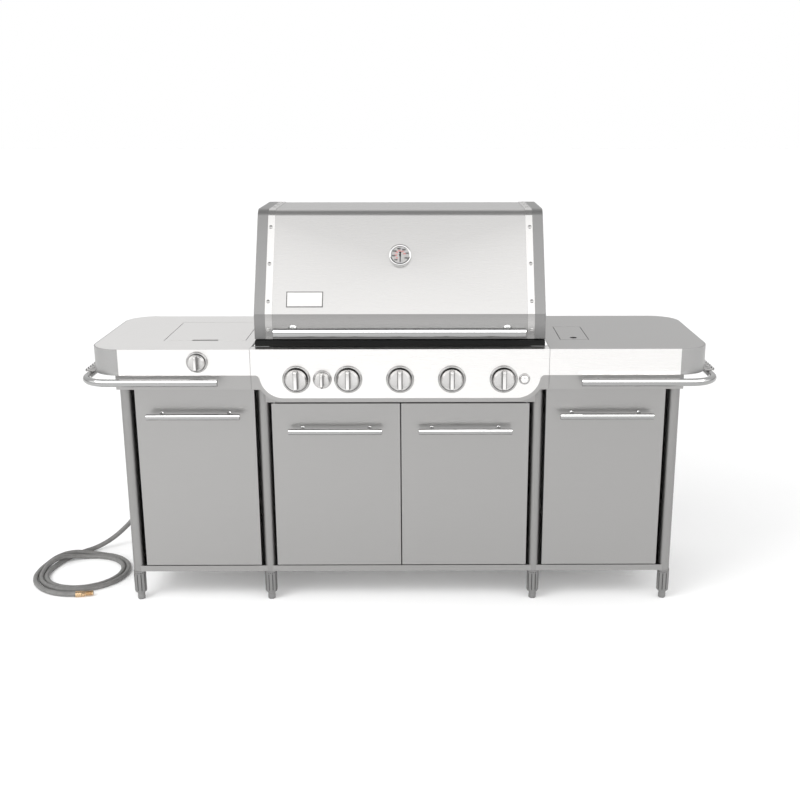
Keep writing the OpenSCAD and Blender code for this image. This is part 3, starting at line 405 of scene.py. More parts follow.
# Darker copies of the sleeve's metal in its flutes and slots: painted shade in the recesses.
SLEEVE_GROOVE_PAINTED_SHADE = cast_metal("sleeve_grooves_painted_shade", 0.09, 0.5)
SLEEVE_SLOT_PAINTED_SHADE = cast_metal("sleeve_slots_painted_shade", 0.02, 0.6)
DIAL_METAL = brushed("dial_silver", 0.42, 0.45, (60, 60, 60))
DIAL_BLACK = enamel("dial_black", (0.012, 0.012, 0.012), 0.35)
DIAL_RED = enamel("dial_red", (0.62, 0.06, 0.05), 0.4)
BRASS = brushed("brass", 0.62, 0.24, (60, 60, 60), 0.45)
GAUGE_GLASS = clear_glass("gauge_glass")
HOSE_SKIN = rubber("hose_rubber", (0.16, 0.158, 0.154))


# ---- Hose --------------------------------------------------------------------------------------

HOSE_D = 18
COIL = at(-1188, 256, 0)
FLOOR_Z = 9.2                                  # the hose's centre when it lies on the floor
ROUTE = [(-850, 562, 262), (-866, 562, 261.5), (-882, 562, 260), (-915, 562, 250), (-950, 560, 230),
         (-990, 554, 196), (-1030, 545, 155), (-1070, 533, 111), (-1105, 522, 76), (-1140, 510, 47),
         (-1175, 496, 26), (-1210, 477, 13), (-1243, 451, FLOOR_Z), (-1268, 422, FLOOR_Z),
         (-1285, 390, FLOOR_Z), (-1308, 330, FLOOR_Z)]
COIL_START, COIL_END = 180, 1000               # degrees, counter-clockwise seen from above
HUMPS = ((505, 50), (848, 48))                 # where two turns lie over the incoming strand
HUMP_H = 18.7


def coil_point(angle):
    """A place on the coil's centre line, whose turns lie side by side."""
    radius = 131 + (angle - COIL_START) / 360 * 19
    if angle > 900:
        radius = 169 + 27 * ((angle - 900) / 100) ** 1.5
    z = FLOOR_Z
    for centre, half in HUMPS:
        away = abs(angle - centre) / half
        if away < 1:
            z += HUMP_H * math.cos(away * math.pi / 2) ** 2
    z += 2.3 * max(0.0, (angle - 970) / 30)
    a = math.radians(angle)
    return COIL + Vector((radius * math.cos(a), radius * math.sin(a), z)) * MM


def hose_points():
    points = [at(*p) for p in ROUTE]
    return points + [coil_point(a) for a in range(COIL_START, COIL_END + 1, 20)]


def smooth_curve(name, points, diameter):
    data = bpy.data.curves.new(name, "CURVE")
    data.dimensions = "3D"
    data.bevel_depth = diameter / 2
    data.bevel_resolution = 6
    data.resolution_u = 8
    data.use_fill_caps = True
    spline = data.splines.new("BEZIER")
    spline.bezier_points.add(len(points) - 1)
    for knot, point in zip(spline.bezier_points, points):
        knot.co = point
        knot.handle_left_type = knot.handle_right_type = "AUTO"
    curve = bpy.data.objects.new(name, data)
    bpy.context.scene.collection.objects.link(curve)
    return curve


hose_line = hose_points()
hose = smooth_curve("hose", hose_line, HOSE_D * MM)

relief_axis = (hose_line[2] - hose_line[0]).normalized()
relief = turned("hose_strain_relief", [
    (9.3, -2), (12.6, -2), (13.0, 0), (13.0, 5), (12.2, 6), (12.2, 9), (12.6, 10), (12.6, 12),
    (11.7, 13), (11.7, 16), (12.1, 17), (12.1, 19), (11.2, 20), (11.2, 23), (11.5, 24), (11.5, 26),
    (10.6, 27), (10.2, 34), (9.6, 36), (9.1, 36), (9.1, -2), (9.3, -2)], hose_line[0], relief_axis)

FITTING_TURN = math.radians(10)
fitting_axis = Vector((math.cos(FITTING_TURN), math.sin(FITTING_TURN), 0))
fitting_place = at(-1154, 63, 11.5)


def hose_end():
    """Crimped ferrule, hexagon nut and threaded nipple at the hose's free end."""
    ferrule = turned("ferrule", [
        (9.0, -6), (10.6, -6), (11.0, -5.4), (11.0, -2), (10.3, -1), (10.3, 1), (11.0, 2),
        (11.0, 5), (10.3, 6), (10.3, 8), (11.0, 9), (11.0, 14), (10.6, 15), (8.4, 15), (8.4, 13),
        (0, 13)],
        fitting_place, fitting_axis)
    nut = turned("nut", [
        (0, 15), (9.2, 15), (11.3, 16), (11.3, 25), (9.2, 26), (8.0, 26), (8.0, 30), (0, 30)],
        fitting_place, fitting_axis, steps=6)
    edit(nut, "ALL")
    bpy.ops.mesh.bevel(offset=0.0003, segments=1, affect="EDGES")
    done()
    thread = [(8.0, 29)]
    for i in range(9):
        thread += [(8.4, 30 + i * 2.4), (9.4, 31 + i * 2.4), (8.4, 32 + i * 2.4)]
    nipple = turned("nipple", thread + [(8.4, 54), (7.6, 55), (5.5, 55), (5.5, 40), (0, 40)],
                    fitting_place, fitting_axis, steps=32)
    return joined("hose_end_fitting", [ferrule, nut, nipple])


fitting = hose_end()
finish(hose, HOSE_SKIN, "cabinet", "hose_rubber", "gas_hose", "hose_coil")
finish(relief, HOSE_SKIN, "cabinet", "hose_rubber")
finish(fitting, BRASS, "cabinet", "fitting_brass", "hose_fitting")


# ---- Softened CAD nodes ------------------------------------------------------------------------

def coated(piece, material):
    """Gives a part its material before it is joined to others."""
    piece.data.materials.clear()
    piece.data.materials.append(material)
    return piece


def recoated(piece, material, test):
    """Gives a second material to the faces that pass a test on their middle and normal."""
    piece.data.materials.append(material)
    for face in piece.data.polygons:
        if test(face.center, face.normal):
            face.material_index = len(piece.data.materials) - 1
    return piece


def softened(name, material, slot, bevel):
    """A copy of a CAD node whose doubles are merged and whose sharp edges are rounded."""
    source = frame["nodes"][name]
    piece = source.copy()
    piece.data = source.data.copy()
    piece.parent = None
    bpy.context.scene.collection.objects.link(piece)
    piece.name = piece.data.name = name + "_finished"
    for key in list(piece.keys()):
        if key.startswith("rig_"):
            del piece[key]
    pick(piece)
    bpy.ops.mesh.customdata_custom_splitnormals_clear()
    edit(piece, "ALL")
    bpy.ops.mesh.remove_doubles(threshold=WELD)
    bpy.ops.mesh.dissolve_limited(angle_limit=math.radians(0.5))
    done()
    rounding = piece.modifiers.new("rounding", "BEVEL")
    rounding.width = bevel * MM
    rounding.segments = 2
    rounding.limit_method = "ANGLE"
    rounding.angle_limit = EDGE_ANGLE
    pick(piece)
    bpy.ops.object.modifier_apply(modifier="rounding")
    coated(level(smooth(piece)), material)
    return finish(piece, material, source["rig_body"], slot, name)


SOFTENED = {                                    # node: (material, slot, bevel in millimetres)
    "lid_panel": (STEEL_LID, "lid_steel", 0.5),
    "lid_trim_strips": (STEEL_TRIM, "trim_steel", 0.4),
    "lid_end_caps": (CAST_CAP, "casting", 1.0),
    "control_panel": (STEEL_PANEL, "table_steel", 0.8),
    "panel_skirt": (STEEL_SKIRT, "table_steel", 0.5),
    "front_fascias": (STEEL_PANEL, "table_steel", 1.0),
    "front_aprons": (STEEL_SKIRT, "table_steel", 0.5),
    "left_table_top": (STEEL_TABLE, "table_steel", 0.6),
    "right_table_top": (RIGHT_TABLE_PAINTED_SHADE, "table_steel", 0.6),
    "table_end_castings": (CAST_TABLE, "casting", 1.2),
    "side_burner_cover": (STEEL_TABLE, "table_steel", 0.5),
    "storage_cover": (RIGHT_TABLE_PAINTED_SHADE, "table_steel", 0.5),
    "left_side_door": (STEEL_DOOR, "door_steel", 1.2),
    "left_middle_door": (STEEL_DOOR, "door_steel", 1.2),
    "right_middle_door": (STEEL_DOOR, "door_steel", 1.2),
    "right_side_door": (STEEL_DOOR, "door_steel", 1.2),
    "cookbox": (COOKBOX_BLACK, "cookbox_enamel", 1.0),
}
for name, (material, slot, bevel) in SOFTENED.items():
    softened(name, material, slot, bevel)


def on_band(place, normal):
    """The lid's upright band, below the crease, which gets darker copies of the lid's materials as
    painted shade.
    """
    return normal.y < -0.9 and place.z < (CREASE_Z + 0.5) * MM


# The band below the crease takes the darker copies: painted shade on the same steel and casting.
for name, material in (("lid_panel", STEEL_BAND_PAINTED_SHADE), ("lid_trim_strips", TRIM_BAND_PAINTED_SHADE),
                       ("lid_end_caps", CAST_BAND_PAINTED_SHADE)):
    recoated(bpy.data.objects[name + "_finished"], material, on_band)

CARRIED = {                                     # nodes shown as they are, with a material
    "legs": STEEL_FRAME, "frame_rails": STEEL_RAIL, "cabinet_floors": STEEL_SHEET,
    "cabinet_walls": STEEL_SHEET, "door_pivot_pins": CHROME, "side_rails": CHROME,
    "hook_combs": STEEL_SHEET, "side_burner_bowl": ALUMINISED, "side_burner_head": CAST_IRON,
    "side_burner_grate": CAST_IRON, "storage_well": ALUMINISED, "burner_tubes": ALUMINISED,
    "heat_deflectors": ALUMINISED, "cooking_grates": ROD_STEEL, "warming_rack": ROD_STEEL,
    "grease_tray": ALUMINISED, "lid_hinge_brackets": STEEL_SHEET, "gas_manifold": ALUMINISED,
    "gas_valves": BRASS, "lid_hinge_leaves": STEEL_SHEET, "gas_inlet": BRASS,
}
for name, material in CARRIED.items():
    carried = frame["nodes"][name]
    carried.data.materials.clear()
    carried.data.materials.append(material)


# ---- Knobs and their bezels --------------------------------------------------------------------

KNOBS = [f"knob_{i}" for i in range(1, 6)] + ["small_knob", "side_knob"]
LARGE_BEZEL_R, SMALL_BEZEL_R, SIDE_BEZEL_R = 46.5, 31, 35.5
STEM_BORE = 4.3
GRIP_OUT = 34                                   # the grip's front, from the knob's back


def knob_piece(name):
    """A dished disc with a rolled rim, a tapered grip bar across it and a round pointer boss."""
    low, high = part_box(name)
    r = (high.x - low.x) / 2 / MM
    centre = Vector(((low.x + high.x) / 2, high.y, (low.z + high.z) / 2))
    disc = turned("disc", [
        (STEM_BORE, 0), (r - 2.6, 0), (r - 0.4, 0.5), (r, 1.4), (r, 4), (r - 1.0, 5.2),
        (r - 2.6, 13.6), (r - 3.2, 15.2), (r - 4.4, 16), (r - 6, 15.7), (r - 9, 15.0), (0, 14.6),
        (0, 13), (STEM_BORE, 13), (STEM_BORE, 0)], centre, steps=64)
    half = r / 3.9
    low_corner = centre + Vector((-half, -GRIP_OUT, -(r - 7.5))) * MM
    high_corner = centre + Vector((half, -13, r - 1.2)) * MM
    grip = bevelled_box("grip", low_corner, high_corner, 0.0032, 3)
    choose(grip, lambda place, normal: place.y < centre.y - 0.030)
    bpy.ops.transform.resize(value=(0.68, 1, 0.965), center_override=centre)
    done()
    # The grip takes the brighter copy of the knob metal: painted highlight.
    coated(grip, KNOB_GRIP_PAINTED_HIGHLIGHT)
    # The grip's sides get the dark copy: painted shade.
    recoated(grip, GRIP_SIDE_SHADE_AND_BOSS, lambda place, normal: abs(normal.x) > 0.6)
    boss = turned("boss", [(0, 13), (4.6, 13), (4.6, 18.5), (3.8, 19.4), (2.2, 19.4), (1.8, 18.4),
                           (0, 18.4)], centre + Vector((0, 0, -(r - 4.8) * MM)), steps=20)
    parts = [coated(disc, KNOB_METAL), grip, coated(boss, GRIP_SIDE_SHADE_AND_BOSS)]
    return joined(name + "_finished", parts)


def bezel_piece(name, radius):
    """A ring with a rolled outer edge, a step and a shallow groove round the knob."""
    place = middle(name)
    centre = Vector((place.x, FRONT, place.z))
    return turned(name + "_bezel", [
        (6.4, 0.2), (radius - 0.6, 0.2), (radius, 0.8), (radius, 3.6), (radius - 0.7, 5.6),
        (radius - 2.4, 7.4), (radius - 4.6, 8.0), (radius - 6.2, 7.6), (radius - 7.0, 6.4),
        (radius - 7.2, 4.4), (radius - 9.6, 3.8), (6.4, 3.4), (6.4, 0.2)], centre, steps=64)


large = knob_piece("knob_1")
knob_home = middle("knob_1")
large_bezel = bezel_piece("knob_1", LARGE_BEZEL_R)
bezels = [large_bezel]
for name in KNOBS[1:5]:
    step = Matrix.Translation(middle(name) - knob_home)
    copy = twin(large, step)
    copy.name = copy.data.name = name + "_finished"
    finish(copy, KNOB_METAL, name, "knob_metal", name)
    bezels.append(twin(large_bezel, step))
finish(large, KNOB_METAL, "knob_1", "knob_metal", "knob_1")
for name in KNOBS[5:]:
    finish(knob_piece(name), KNOB_METAL, name, "knob_metal", name)
bezels.append(bezel_piece("side_knob", SIDE_BEZEL_R))

button_low, button_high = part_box("igniter_button")
BUTTON_R = (button_high.x - button_low.x) / 2 / MM
button_place = middle("igniter_button")
button_front = Vector((button_place.x, FRONT, button_place.z))
collar = turned("igniter_collar", [
    (BUTTON_R + 0.5, 0.2), (BUTTON_R + 5.6, 0.2), (BUTTON_R + 6, 0.8), (BUTTON_R + 5.2, 2.8),
    (BUTTON_R + 3, 4), (BUTTON_R + 1.4, 3.8), (BUTTON_R + 0.5, 3), (BUTTON_R + 0.5, 0.2)],
    button_front)
bezels.append(collar)
finish(joined("bezels", bezels), BEZEL_METAL, "cabinet", "bezel_metal", "knob_bezels")
finish(bezel_piece("small_knob", SMALL_BEZEL_R), BEZEL_METAL, "cabinet", "bezel_metal",
       "knob_bezels")
button = turned("igniter_button_finished", [
    (0, -10), (BUTTON_R, -10), (BUTTON_R, 6.2), (BUTTON_R - 0.6, 7.3), (BUTTON_R - 2, 8),
    (BUTTON_R - 3.2, 7.8), (BUTTON_R - 3.8, 6.6), (BUTTON_R - 5, 6.4), (4, 7.2), (0, 7.5)],
    button_front)
finish(button, BEZEL_BRIGHT, "igniter_button", "button_metal", "igniter_button")


# ---- Lid: handle, screws and thermometer -------------------------------------------------------

LID_BAR_R = 15
LID_POST_X = 357
LID_FRONT_D = 60                                # depth of the lid's upright band


def on_slope(x, z, proud=0.0):
    """A place on the lid's sloping front, or proud of it, in millimetres."""
    depth = LID_FRONT_D + (z - CREASE_Z) * math.tan(LEAN)
    return at(x, depth, z) + SLOPE_NORMAL * (proud * MM)


def lid_handle():
    """A round bar with chamfered ends on two posts, each with a conical washer on the lid."""
    low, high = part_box("lid_handle")
    axis_place = Vector((low.x, low.y + LID_BAR_R * MM, (low.z + high.z) / 2))
    width = (high.x - low.x) / MM
    bar = turned("bar", [(0, 0), (12.4, 0), (14.2, 0.6), (15, 2), (15, width - 2),
                         (14.2, width - 0.6), (12.4, width), (0, width)],
                 axis_place, (1, 0, 0), steps=64)
    posts = []
    for side in (-1, 1):
        root = Vector((side * LID_POST_X * MM, FRONT + (LID_FRONT_D - 0.2) * MM, axis_place.z))
        washer = turned("washer", [(6.9, 0), (15, 0), (15, 1.6), (13.8, 3), (9.4, 7.2), (8.2, 7.8),
                                   (6.9, 8), (6.9, 0)], root, steps=32)
        post = turned("post", [(0, 0.5), (7, 0.5), (7, 60), (0, 60), (0, 0.5)], root, steps=32)
        posts += [coated(washer, DARK_WASHER_AND_LIP_REFLECTION), coated(post, CHROME)]
    return joined("lid_handle_finished", [coated(bar, CHROME)] + posts)


finish(lid_handle(), CHROME, "lid", "rail_chrome", "lid_handle")

SCREW = [(0, 1.2), (1.7, 1.2), (2.0, 2.6), (2.6, 3.0), (4.2, 2.5), (6.2, 1.4), (6.6, 0), (0, 0)]
SCREW_X = 438
SLOPE_SCREWS_Z = (1058, 1174, 1289)
TOP_SCREWS_DEPTH = (325, 412, 498)
LID_TOP = 1347


def lid_screws():
    """Dome screws down each trim strip, along its top and on the band below the crease."""
    places = [(on_slope(SCREW_X, z, 2.0), SLOPE_NORMAL) for z in SLOPE_SCREWS_Z]
    places.append((at(SCREW_X, LID_FRONT_D - 2.0, 968), Vector((0, -1, 0))))
    places += [(at(SCREW_X, depth, LID_TOP), Vector((0, 0, 1))) for depth in TOP_SCREWS_DEPTH]
    return mirrored("lid_screws", [turned("screw", SCREW, p, n, steps=20) for p, n in places])


finish(lid_screws(), BEZEL_METAL, "lid", "trim_steel")


def name_plate():
    """A blank plate with a raised dark rim round a satin field."""
    low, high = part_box("name_plate")
    width, thick = high.x - low.x, 0.002
    tall = (high.z - low.z - thick * math.sin(LEAN)) / math.cos(LEAN)
    plate = bevelled_box("name_plate_finished", Vector((-width / 2, -tall / 2, -0.0002)),
                         Vector((width / 2, tall / 2, thick)), 0.0006, 2)
    choose(plate, lambda place, normal: normal.z > 0.99)
    bpy.ops.mesh.inset(thickness=0.0022)
    bpy.ops.mesh.inset(thickness=0.0003, depth=-0.0005)
    done()
    coated(level(plate), PLATE_RIM)
    recoated(plate, PLATE_FACE, lambda place, normal: normal.z > 0.99 and place.z < 0.0017)
    centre = Vector(((low.x + high.x) / 2, 0, (low.z + high.z) / 2)) / MM
    return moved(plate, lay_on(on_slope(centre.x, centre.z - 0.5), (1, 0, 0), SLOPE_UP))


finish(name_plate(), PLATE_RIM, "lid", "plate_metal", "name_plate")

GAUGE_Z = 1197
FACE_H = 13                                     # the dial's height above the lid
gauge_base = on_slope(0, GAUGE_Z)


def on_dial(angle, radius):
    """A place on the dial, clockwise in degrees from straight down."""
    a = math.radians(angle)
    return gauge_base + (Vector((-math.sin(a), 0, 0)) - SLOPE_UP * math.cos(a)) * (radius * MM)


def gauge_case():
    """Rolled chrome rim round a recessed dial, and the probe behind the lid."""
    case = turned("thermometer_case_finished", [
        (0, FACE_H - 0.6), (30.4, FACE_H - 0.6), (30.4, 16.0), (31.2, 17.3), (32.6, 17.9),
        (34.2, 18), (36.2, 17.5), (37.5, 16.2), (38, 14.2), (38, 2), (37, 0.1), (5, 0.1), (5, -49),
        (4, -50), (0, -50)],
        gauge_base, SLOPE_NORMAL, steps=96)

    def lower_lip(place, normal):
        """The inner lip below the dial, given a dark material as a painted reflection of the dark
        cookbox.
        """
        out = (place - gauge_base) / MM
        proud = out.dot(SLOPE_NORMAL)
        across = out - SLOPE_NORMAL * proud
        return across.dot(SLOPE_UP) < -8 and across.length < 33.8 and proud > 14

    # The lower lip's dark material is a painted reflection.
    return recoated(coated(case, GAUGE_CHROME_PAINTED_HIGHLIGHT), DARK_WASHER_AND_LIP_REFLECTION, lower_lip)


def gauge_dial():
    low, high = FACE_H - 0.5, FACE_H - 0.1
    ring = [(4.4, low), (30.3, low), (30.3, high), (4.4, high), (4.4, low)]
    return turned("thermometer_dial", ring, gauge_base, SLOPE_NORMAL, steps=96)


def numeral(text, place, size):
    """A flat, upright number lying on the dial."""
    bpy.ops.object.select_all(action="DESELECT")
    bpy.ops.object.text_add()
    drawn = bpy.context.object
    drawn.data.body = text
    drawn.data.align_x, drawn.data.align_y = "CENTER", "CENTER"
    drawn.data.size = size * MM
    drawn.data.extrude = 0.00008
    drawn.data.offset = size * 0.00004
    pick(drawn)
    bpy.ops.object.convert(target="MESH")
    return moved(bpy.context.object,
                 lay_on(place + SLOPE_NORMAL * (FACE_H * MM), (1, 0, 0), SLOPE_UP))


def dial_marks(values, first, step, radius, size):
    """Numbers round the dial, a step of degrees apart."""
    return [numeral(str(v), on_dial(first + i * step, radius), size) for i, v in enumerate(values)]


def dial_ticks(first, last, count, radius, length, width):
    """Fine lines round the dial's edge."""
    ticks = []
    for i in range(count):
        angle = first + (last - first) * i / (count - 1)
        outward = (on_dial(angle, 1) - gauge_base).normalized()
        tick = bevelled_box("tick", Vector((-width / 2, -length / 2, -0.08)) * MM,
                            Vector((width / 2, length / 2, 0.08)) * MM, 0.00002, 1)
        across = outward.cross(SLOPE_NORMAL)
        place = on_dial(angle, radius) + SLOPE_NORMAL * (FACE_H * MM)
        ticks.append(moved(tick, lay_on(place, across, outward)))
    return ticks


finish(gauge_case(), GAUGE_CHROME_PAINTED_HIGHLIGHT, "lid", "gauge_chrome", "thermometer_case")
finish(gauge_dial(), DIAL_METAL, "lid", "gauge_chrome")
black_marks = dial_marks(range(100, 800, 100), 41, 43, 22.8, 8.0)
black_marks += dial_ticks(0, 300, 31, 28.9, 1.8, 0.5)
finish(joined("thermometer_scale", black_marks), DIAL_BLACK, "lid", "needle_black")
red_marks = dial_marks(range(50, 350, 50), 48, 41, 15.0, 5.4)
finish(joined("thermometer_inner_scale", red_marks), DIAL_RED, "lid", "needle_black")


def gauge_needle():
    """A tapered pointer, a round counterweight behind the hub, and the hub's cap."""
    pointer = bevelled_box("pointer", Vector((-1.5, -25.5, -0.5)) * MM,
                           Vector((1.5, 3, 0.5)) * MM, 0.0002, 1)
    choose(pointer, lambda place, normal: normal.y < -0.9)
    bpy.ops.transform.resize(value=(0.3, 1, 1), center_override=(0, 0, 0))
    done()
    lie = lay_on(gauge_base + SLOPE_NORMAL * ((FACE_H + 1.0) * MM), (1, 0, 0), SLOPE_UP)
    moved(pointer, lie)
    hub = turned("hub", [
        (0, -3), (2.3, -3), (2.3, 0.2), (3.6, 0.4), (3.6, 1.6), (2.8, 2.3), (0, 2.5)],
        gauge_base + SLOPE_NORMAL * (FACE_H * MM), SLOPE_NORMAL, steps=32)
    weight = turned("weight", [(0, 0.5), (3.4, 0.5), (3.4, 1.3), (2.9, 1.6), (0, 1.6)],
                    on_dial(180, 8.2) + SLOPE_NORMAL * (FACE_H * MM), SLOPE_NORMAL, steps=32)
    return joined("thermometer_needle_finished", [pointer, hub, weight])


finish(gauge_needle(), DIAL_BLACK, "gauge_needle", "needle_black", "thermometer_needle")
glass = turned("thermometer_glass", [(0, 15.6), (30.3, 15.6), (30.3, 16.4), (20, 16.9), (0, 17.2)],
               gauge_base, SLOPE_NORMAL, steps=64)
finish(glass, GAUGE_GLASS, "lid", "gauge_chrome")


# ---- Legs: fluted sleeves and levelling feet ---------------------------------------------------

SLEEVE_LOW, SLEEVE_TOP = (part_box("leg_sleeves")[i].z / MM for i in (0, 1))
SLEEVE_R = 21
LEG_X = (-923.5, -462, 462, 923.5)
FLUTES = 10
SLEEVE_STEPS = FLUTES * 4                       # one step in four carries a flute


def leg_places():
    low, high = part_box("leg_sleeves")
    front, back = low.y + SLEEVE_R * MM, high.y - SLEEVE_R * MM
    return [Vector((x * MM, y, 0)) for x in LEG_X for y in (front, back)]


def sleeve(place):
    """A moulded sleeve: rounded shoulders, long flutes and a ring of small slots near its top."""
    lo, hi = SLEEVE_LOW, SLEEVE_TOP
    piece = turned("sleeve", [
        (12, lo), (17.6, lo), (19.4, lo + 1.2), (20.6, lo + 4), (21, lo + 8), (21, hi - 12),
        (21, hi - 9), (21, hi - 6), (21, hi - 1.4), (20.6, hi - 0.4), (20.0, hi), (19.3, hi),
        (19.3, lo + 5), (12, lo + 5), (12, lo)], place, (0, 0, 1), steps=SLEEVE_STEPS)

    def turn_of(centre):
        angle = math.atan2(centre.y - place.y, centre.x - place.x)
        return int(round(angle / math.tau * SLEEVE_STEPS - 0.5)) % 4

    def outside(centre, normal):
        away = Vector((centre.x - place.x, centre.y - place.y, 0))
        return away.length > 0.0202 and normal.dot(away) > 0

    choose(piece, lambda c, n: (outside(c, n) and turn_of(c) == 0
                                and (lo + 8) * MM < c.z < (hi - 12) * MM))
    bpy.ops.mesh.inset(thickness=0.0004, depth=-0.0015, use_individual=True)
    done()
    choose(piece, lambda c, n: (outside(c, n) and turn_of(c) in (0, 2)
                                and (hi - 9) * MM < c.z < (hi - 6) * MM))
    bpy.ops.mesh.inset(thickness=0.0003, depth=-0.0014, use_individual=True)
    done()
    return smooth(piece, math.radians(25))


def foot(place):
    """A levelling foot: a ribbed pad with a chamfered sole on a threaded stud."""
    top = SLEEVE_LOW
    return turned("foot", [
        (0, 0), (11.4, 0), (12.6, 1.4), (13, 3), (13, 15), (12.2, 16.4), (12.2, 18), (13, 19.4),
        (13, 23), (11.8, top - 1), (8, top - 1), (8, top + 26), (7, top + 28), (0, top + 28)],
        place, (0, 0, 1), steps=24)


def on_every_leg(name, piece):
    """Twins of a leg's piece on the other legs, all joined."""
    first, *others = leg_places()
    return joined(name, [piece] + [twin(piece, Matrix.Translation(p - first)) for p in others])


def dark_sleeve(place):
    """The sleeve with its flutes and slots in darker tones, painted shade in the recesses."""
    def sunk(centre, low, high):
        away = Vector((centre.x - place.x, centre.y - place.y, 0)).length
        return 0.0190 < away < 0.0201 and low < centre.z / MM < high

    piece = coated(sleeve(place), SLEEVE_METAL)
    # Flute bottoms and slots get the darker copies: painted shade.
    recoated(piece, SLEEVE_GROOVE_PAINTED_SHADE, lambda c, n: sunk(c, SLEEVE_LOW + 8, SLEEVE_TOP - 12))
    return recoated(piece, SLEEVE_SLOT_PAINTED_SHADE, lambda c, n: sunk(c, SLEEVE_TOP - 9, SLEEVE_TOP - 6))


finish(on_every_leg("leg_sleeves_finished", dark_sleeve(leg_places()[0])), SLEEVE_METAL, "cabinet",
       "sleeve", "leg_sleeves")
finish(on_every_leg("levelling_feet_finished", foot(leg_places()[0])), SLEEVE_METAL, "cabinet",
       "foot", "levelling_feet")


# ---- Door handles ------------------------------------------------------------------------------

DOOR_POST_X = 113                               # from the bar's middle
DOOR_BAR_R = 10


def door_handle(name):
    """A round bar with chamfered ends on two posts with small collars."""
    low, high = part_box(name)
    width = (high.x - low.x) / MM
    height = (low.z + high.z) / 2
    start = Vector((low.x, low.y + DOOR_BAR_R * MM, height))
    bar = turned("bar", [(0, 0), (8.2, 0), (9.4, 0.5), (10, 1.6), (10, width - 1.6),
                         (9.4, width - 0.5), (8.2, width), (0, width)], start, (1, 0, 0), steps=48)
    centre_x = (low.x + high.x) / 2
    reach = (high.y - start.y) / MM
    posts = []
    for side in (-1, 1):
        root = Vector((centre_x + side * DOOR_POST_X * MM, high.y, height))
        posts.append(coated(turned("post", [
            (0, 0), (7.4, 0), (7.4, 0.8), (6.6, 1.6), (5.0, 3.2), (4.5, 4.0), (4.5, reach - 4),
            (0, reach - 4)], root, steps=24), POST_METAL))
    return joined(name + "_finished", [coated(bar, CHROME)] + posts)


for side in DOORS:
    finish(door_handle(side + "_handle"), CHROME, side + "_door", "rail_chrome", side + "_handle")


# ---- Floor and light ---------------------------------------------------------------------------

SKY_POWER = 2.0
# (height of the direction from 0, straight down, to 1, straight up; brightness)
FRONT_SKY = ((0.50, 0.30), (0.56, 0.60), (0.60, 1.10), (0.70, 1.05), (0.77, 0.85), (0.91, 0.85),
             (0.935, 0.17), (1.0, 0.17))
BACK_SKY = ((0.50, 0.34), (0.58, 0.36), (0.63, 0.42), (0.80, 0.46), (0.89, 0.48), (0.955, 0.17),
            (1.0, 0.17))


def add_floor():
    bpy.ops.object.select_all(action="DESELECT")
    bpy.ops.mesh.primitive_plane_add(size=60, location=(0, 10, 0))
    floor = bpy.context.object
    floor.name = "floor"
    material, tree, shader = new_material("pale_floor", (0.92, 0.92, 0.92), 0.0, 0.9)
    shader.inputs["Specular IOR Level"].default_value = 0.0
    shader.inputs["Emission Color"].default_value = (1, 1, 1, 1)
    shader.inputs["Emission Strength"].default_value = 0.08
    grain = noise(tree, 3.0)
    tint(tree, grain, (0.915, 0.915, 0.915), (0.925, 0.925, 0.925), shader.inputs["Base Color"])
    floor.data.materials.append(material)


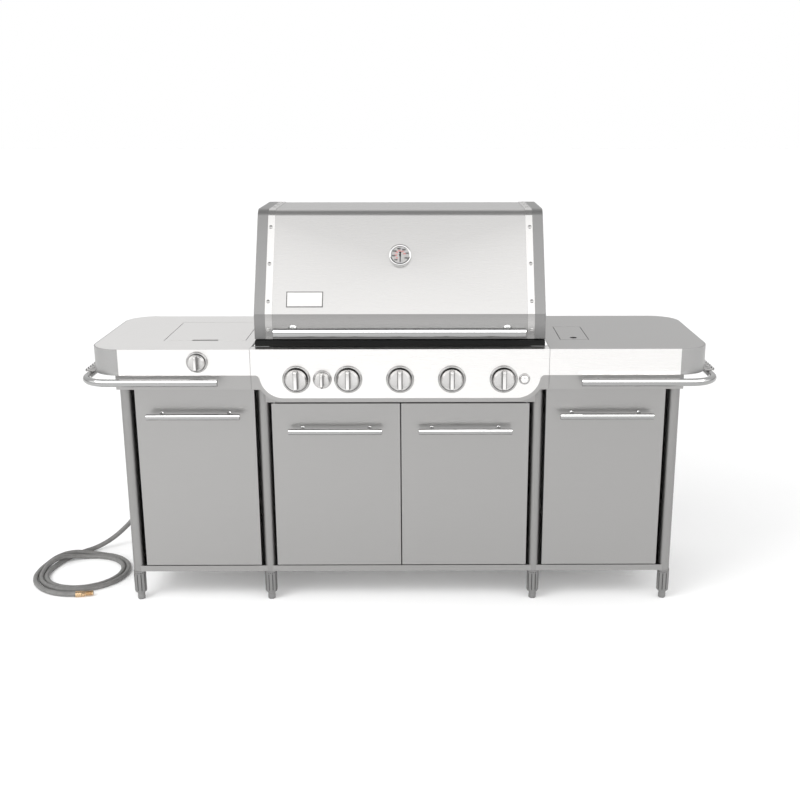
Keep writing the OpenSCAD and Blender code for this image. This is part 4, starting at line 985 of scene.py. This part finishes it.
def add_sky():
    """A pale room with a dim ceiling, its front wall brighter than its back wall."""
    world = bpy.data.worlds.new("studio")
    bpy.context.scene.world = world
    world.use_nodes = True
    tree = world.node_tree
    background = tree.nodes["Background"]
    place = tree.nodes.new("ShaderNodeTexCoord")
    split = tree.nodes.new("ShaderNodeSeparateXYZ")
    tree.links.new(place.outputs["Generated"], split.inputs["Vector"])

    def graded(axis, stops):
        scale = tree.nodes.new("ShaderNodeMapRange")
        scale.inputs["From Min"].default_value = -1
        ramp = tree.nodes.new("ShaderNodeValToRGB")
        first, last = ramp.color_ramp.elements
        for element, (position, bright) in zip((first, last), (stops[0], stops[-1])):
            element.position, element.color = position, (bright, bright, bright, 1)
        for position, bright in stops[1:-1]:
            ramp.color_ramp.elements.new(position).color = (bright, bright, bright, 1)
        tree.links.new(split.outputs[axis], scale.inputs["Value"])
        tree.links.new(scale.outputs["Result"], ramp.inputs["Fac"])
        return ramp

    front = graded("Z", FRONT_SKY)
    back = graded("Z", BACK_SKY)
    which = graded("Y", ((0.40, 0.0), (0.60, 1.0)))
    room = tree.nodes.new("ShaderNodeMixRGB")
    tree.links.new(which.outputs["Color"], room.inputs["Fac"])
    tree.links.new(front.outputs["Color"], room.inputs["Color1"])
    tree.links.new(back.outputs["Color"], room.inputs["Color2"])
    path = tree.nodes.new("ShaderNodeLightPath")
    seen = node(tree, "ShaderNodeMixRGB")
    seen.inputs["Color2"].default_value = (1 / SKY_POWER, 1 / SKY_POWER, 1 / SKY_POWER, 1)
    tree.links.new(path.outputs["Is Camera Ray"], seen.inputs["Fac"])
    tree.links.new(room.outputs["Color"], seen.inputs["Color1"])
    tree.links.new(seen.outputs["Color"], background.inputs["Color"])
    background.inputs["Strength"].default_value = SKY_POWER


def add_softbox(name, place, aim, size, power, lit=()):
    """An area light; with names, it lights those pieces alone."""
    data = bpy.data.lights.new(name, "AREA")
    data.shape = "RECTANGLE"
    data.size, data.size_y = size
    data.energy = power
    light = bpy.data.objects.new(name, data)
    light.location = place
    light.visible_glossy = bool(lit)
    light.rotation_euler = (Vector(aim) - Vector(place)).to_track_quat("-Z", "Y").to_euler()
    bpy.context.scene.collection.objects.link(light)
    if lit:
        group = bpy.data.collections.new(name + "_lights")
        for piece in lit:
            group.objects.link(bpy.data.objects[piece])
        light.light_linking.receiver_collection = group


add_floor()
add_sky()
add_softbox("key", (-2.6, -2.6, 3.6), (0, 0, 0.5), (2.4, 2.0), 75)
BARS = ["lid_handle_finished", "side_rails"] + [f"{side}_handle_finished" for side in DOORS]
add_softbox("bar_light", (0, -1.6, 3.4), (0, -0.3, 0.8), (9.0, 2.2), 640, BARS)
bpy.context.scene.view_settings.view_transform = "Standard"
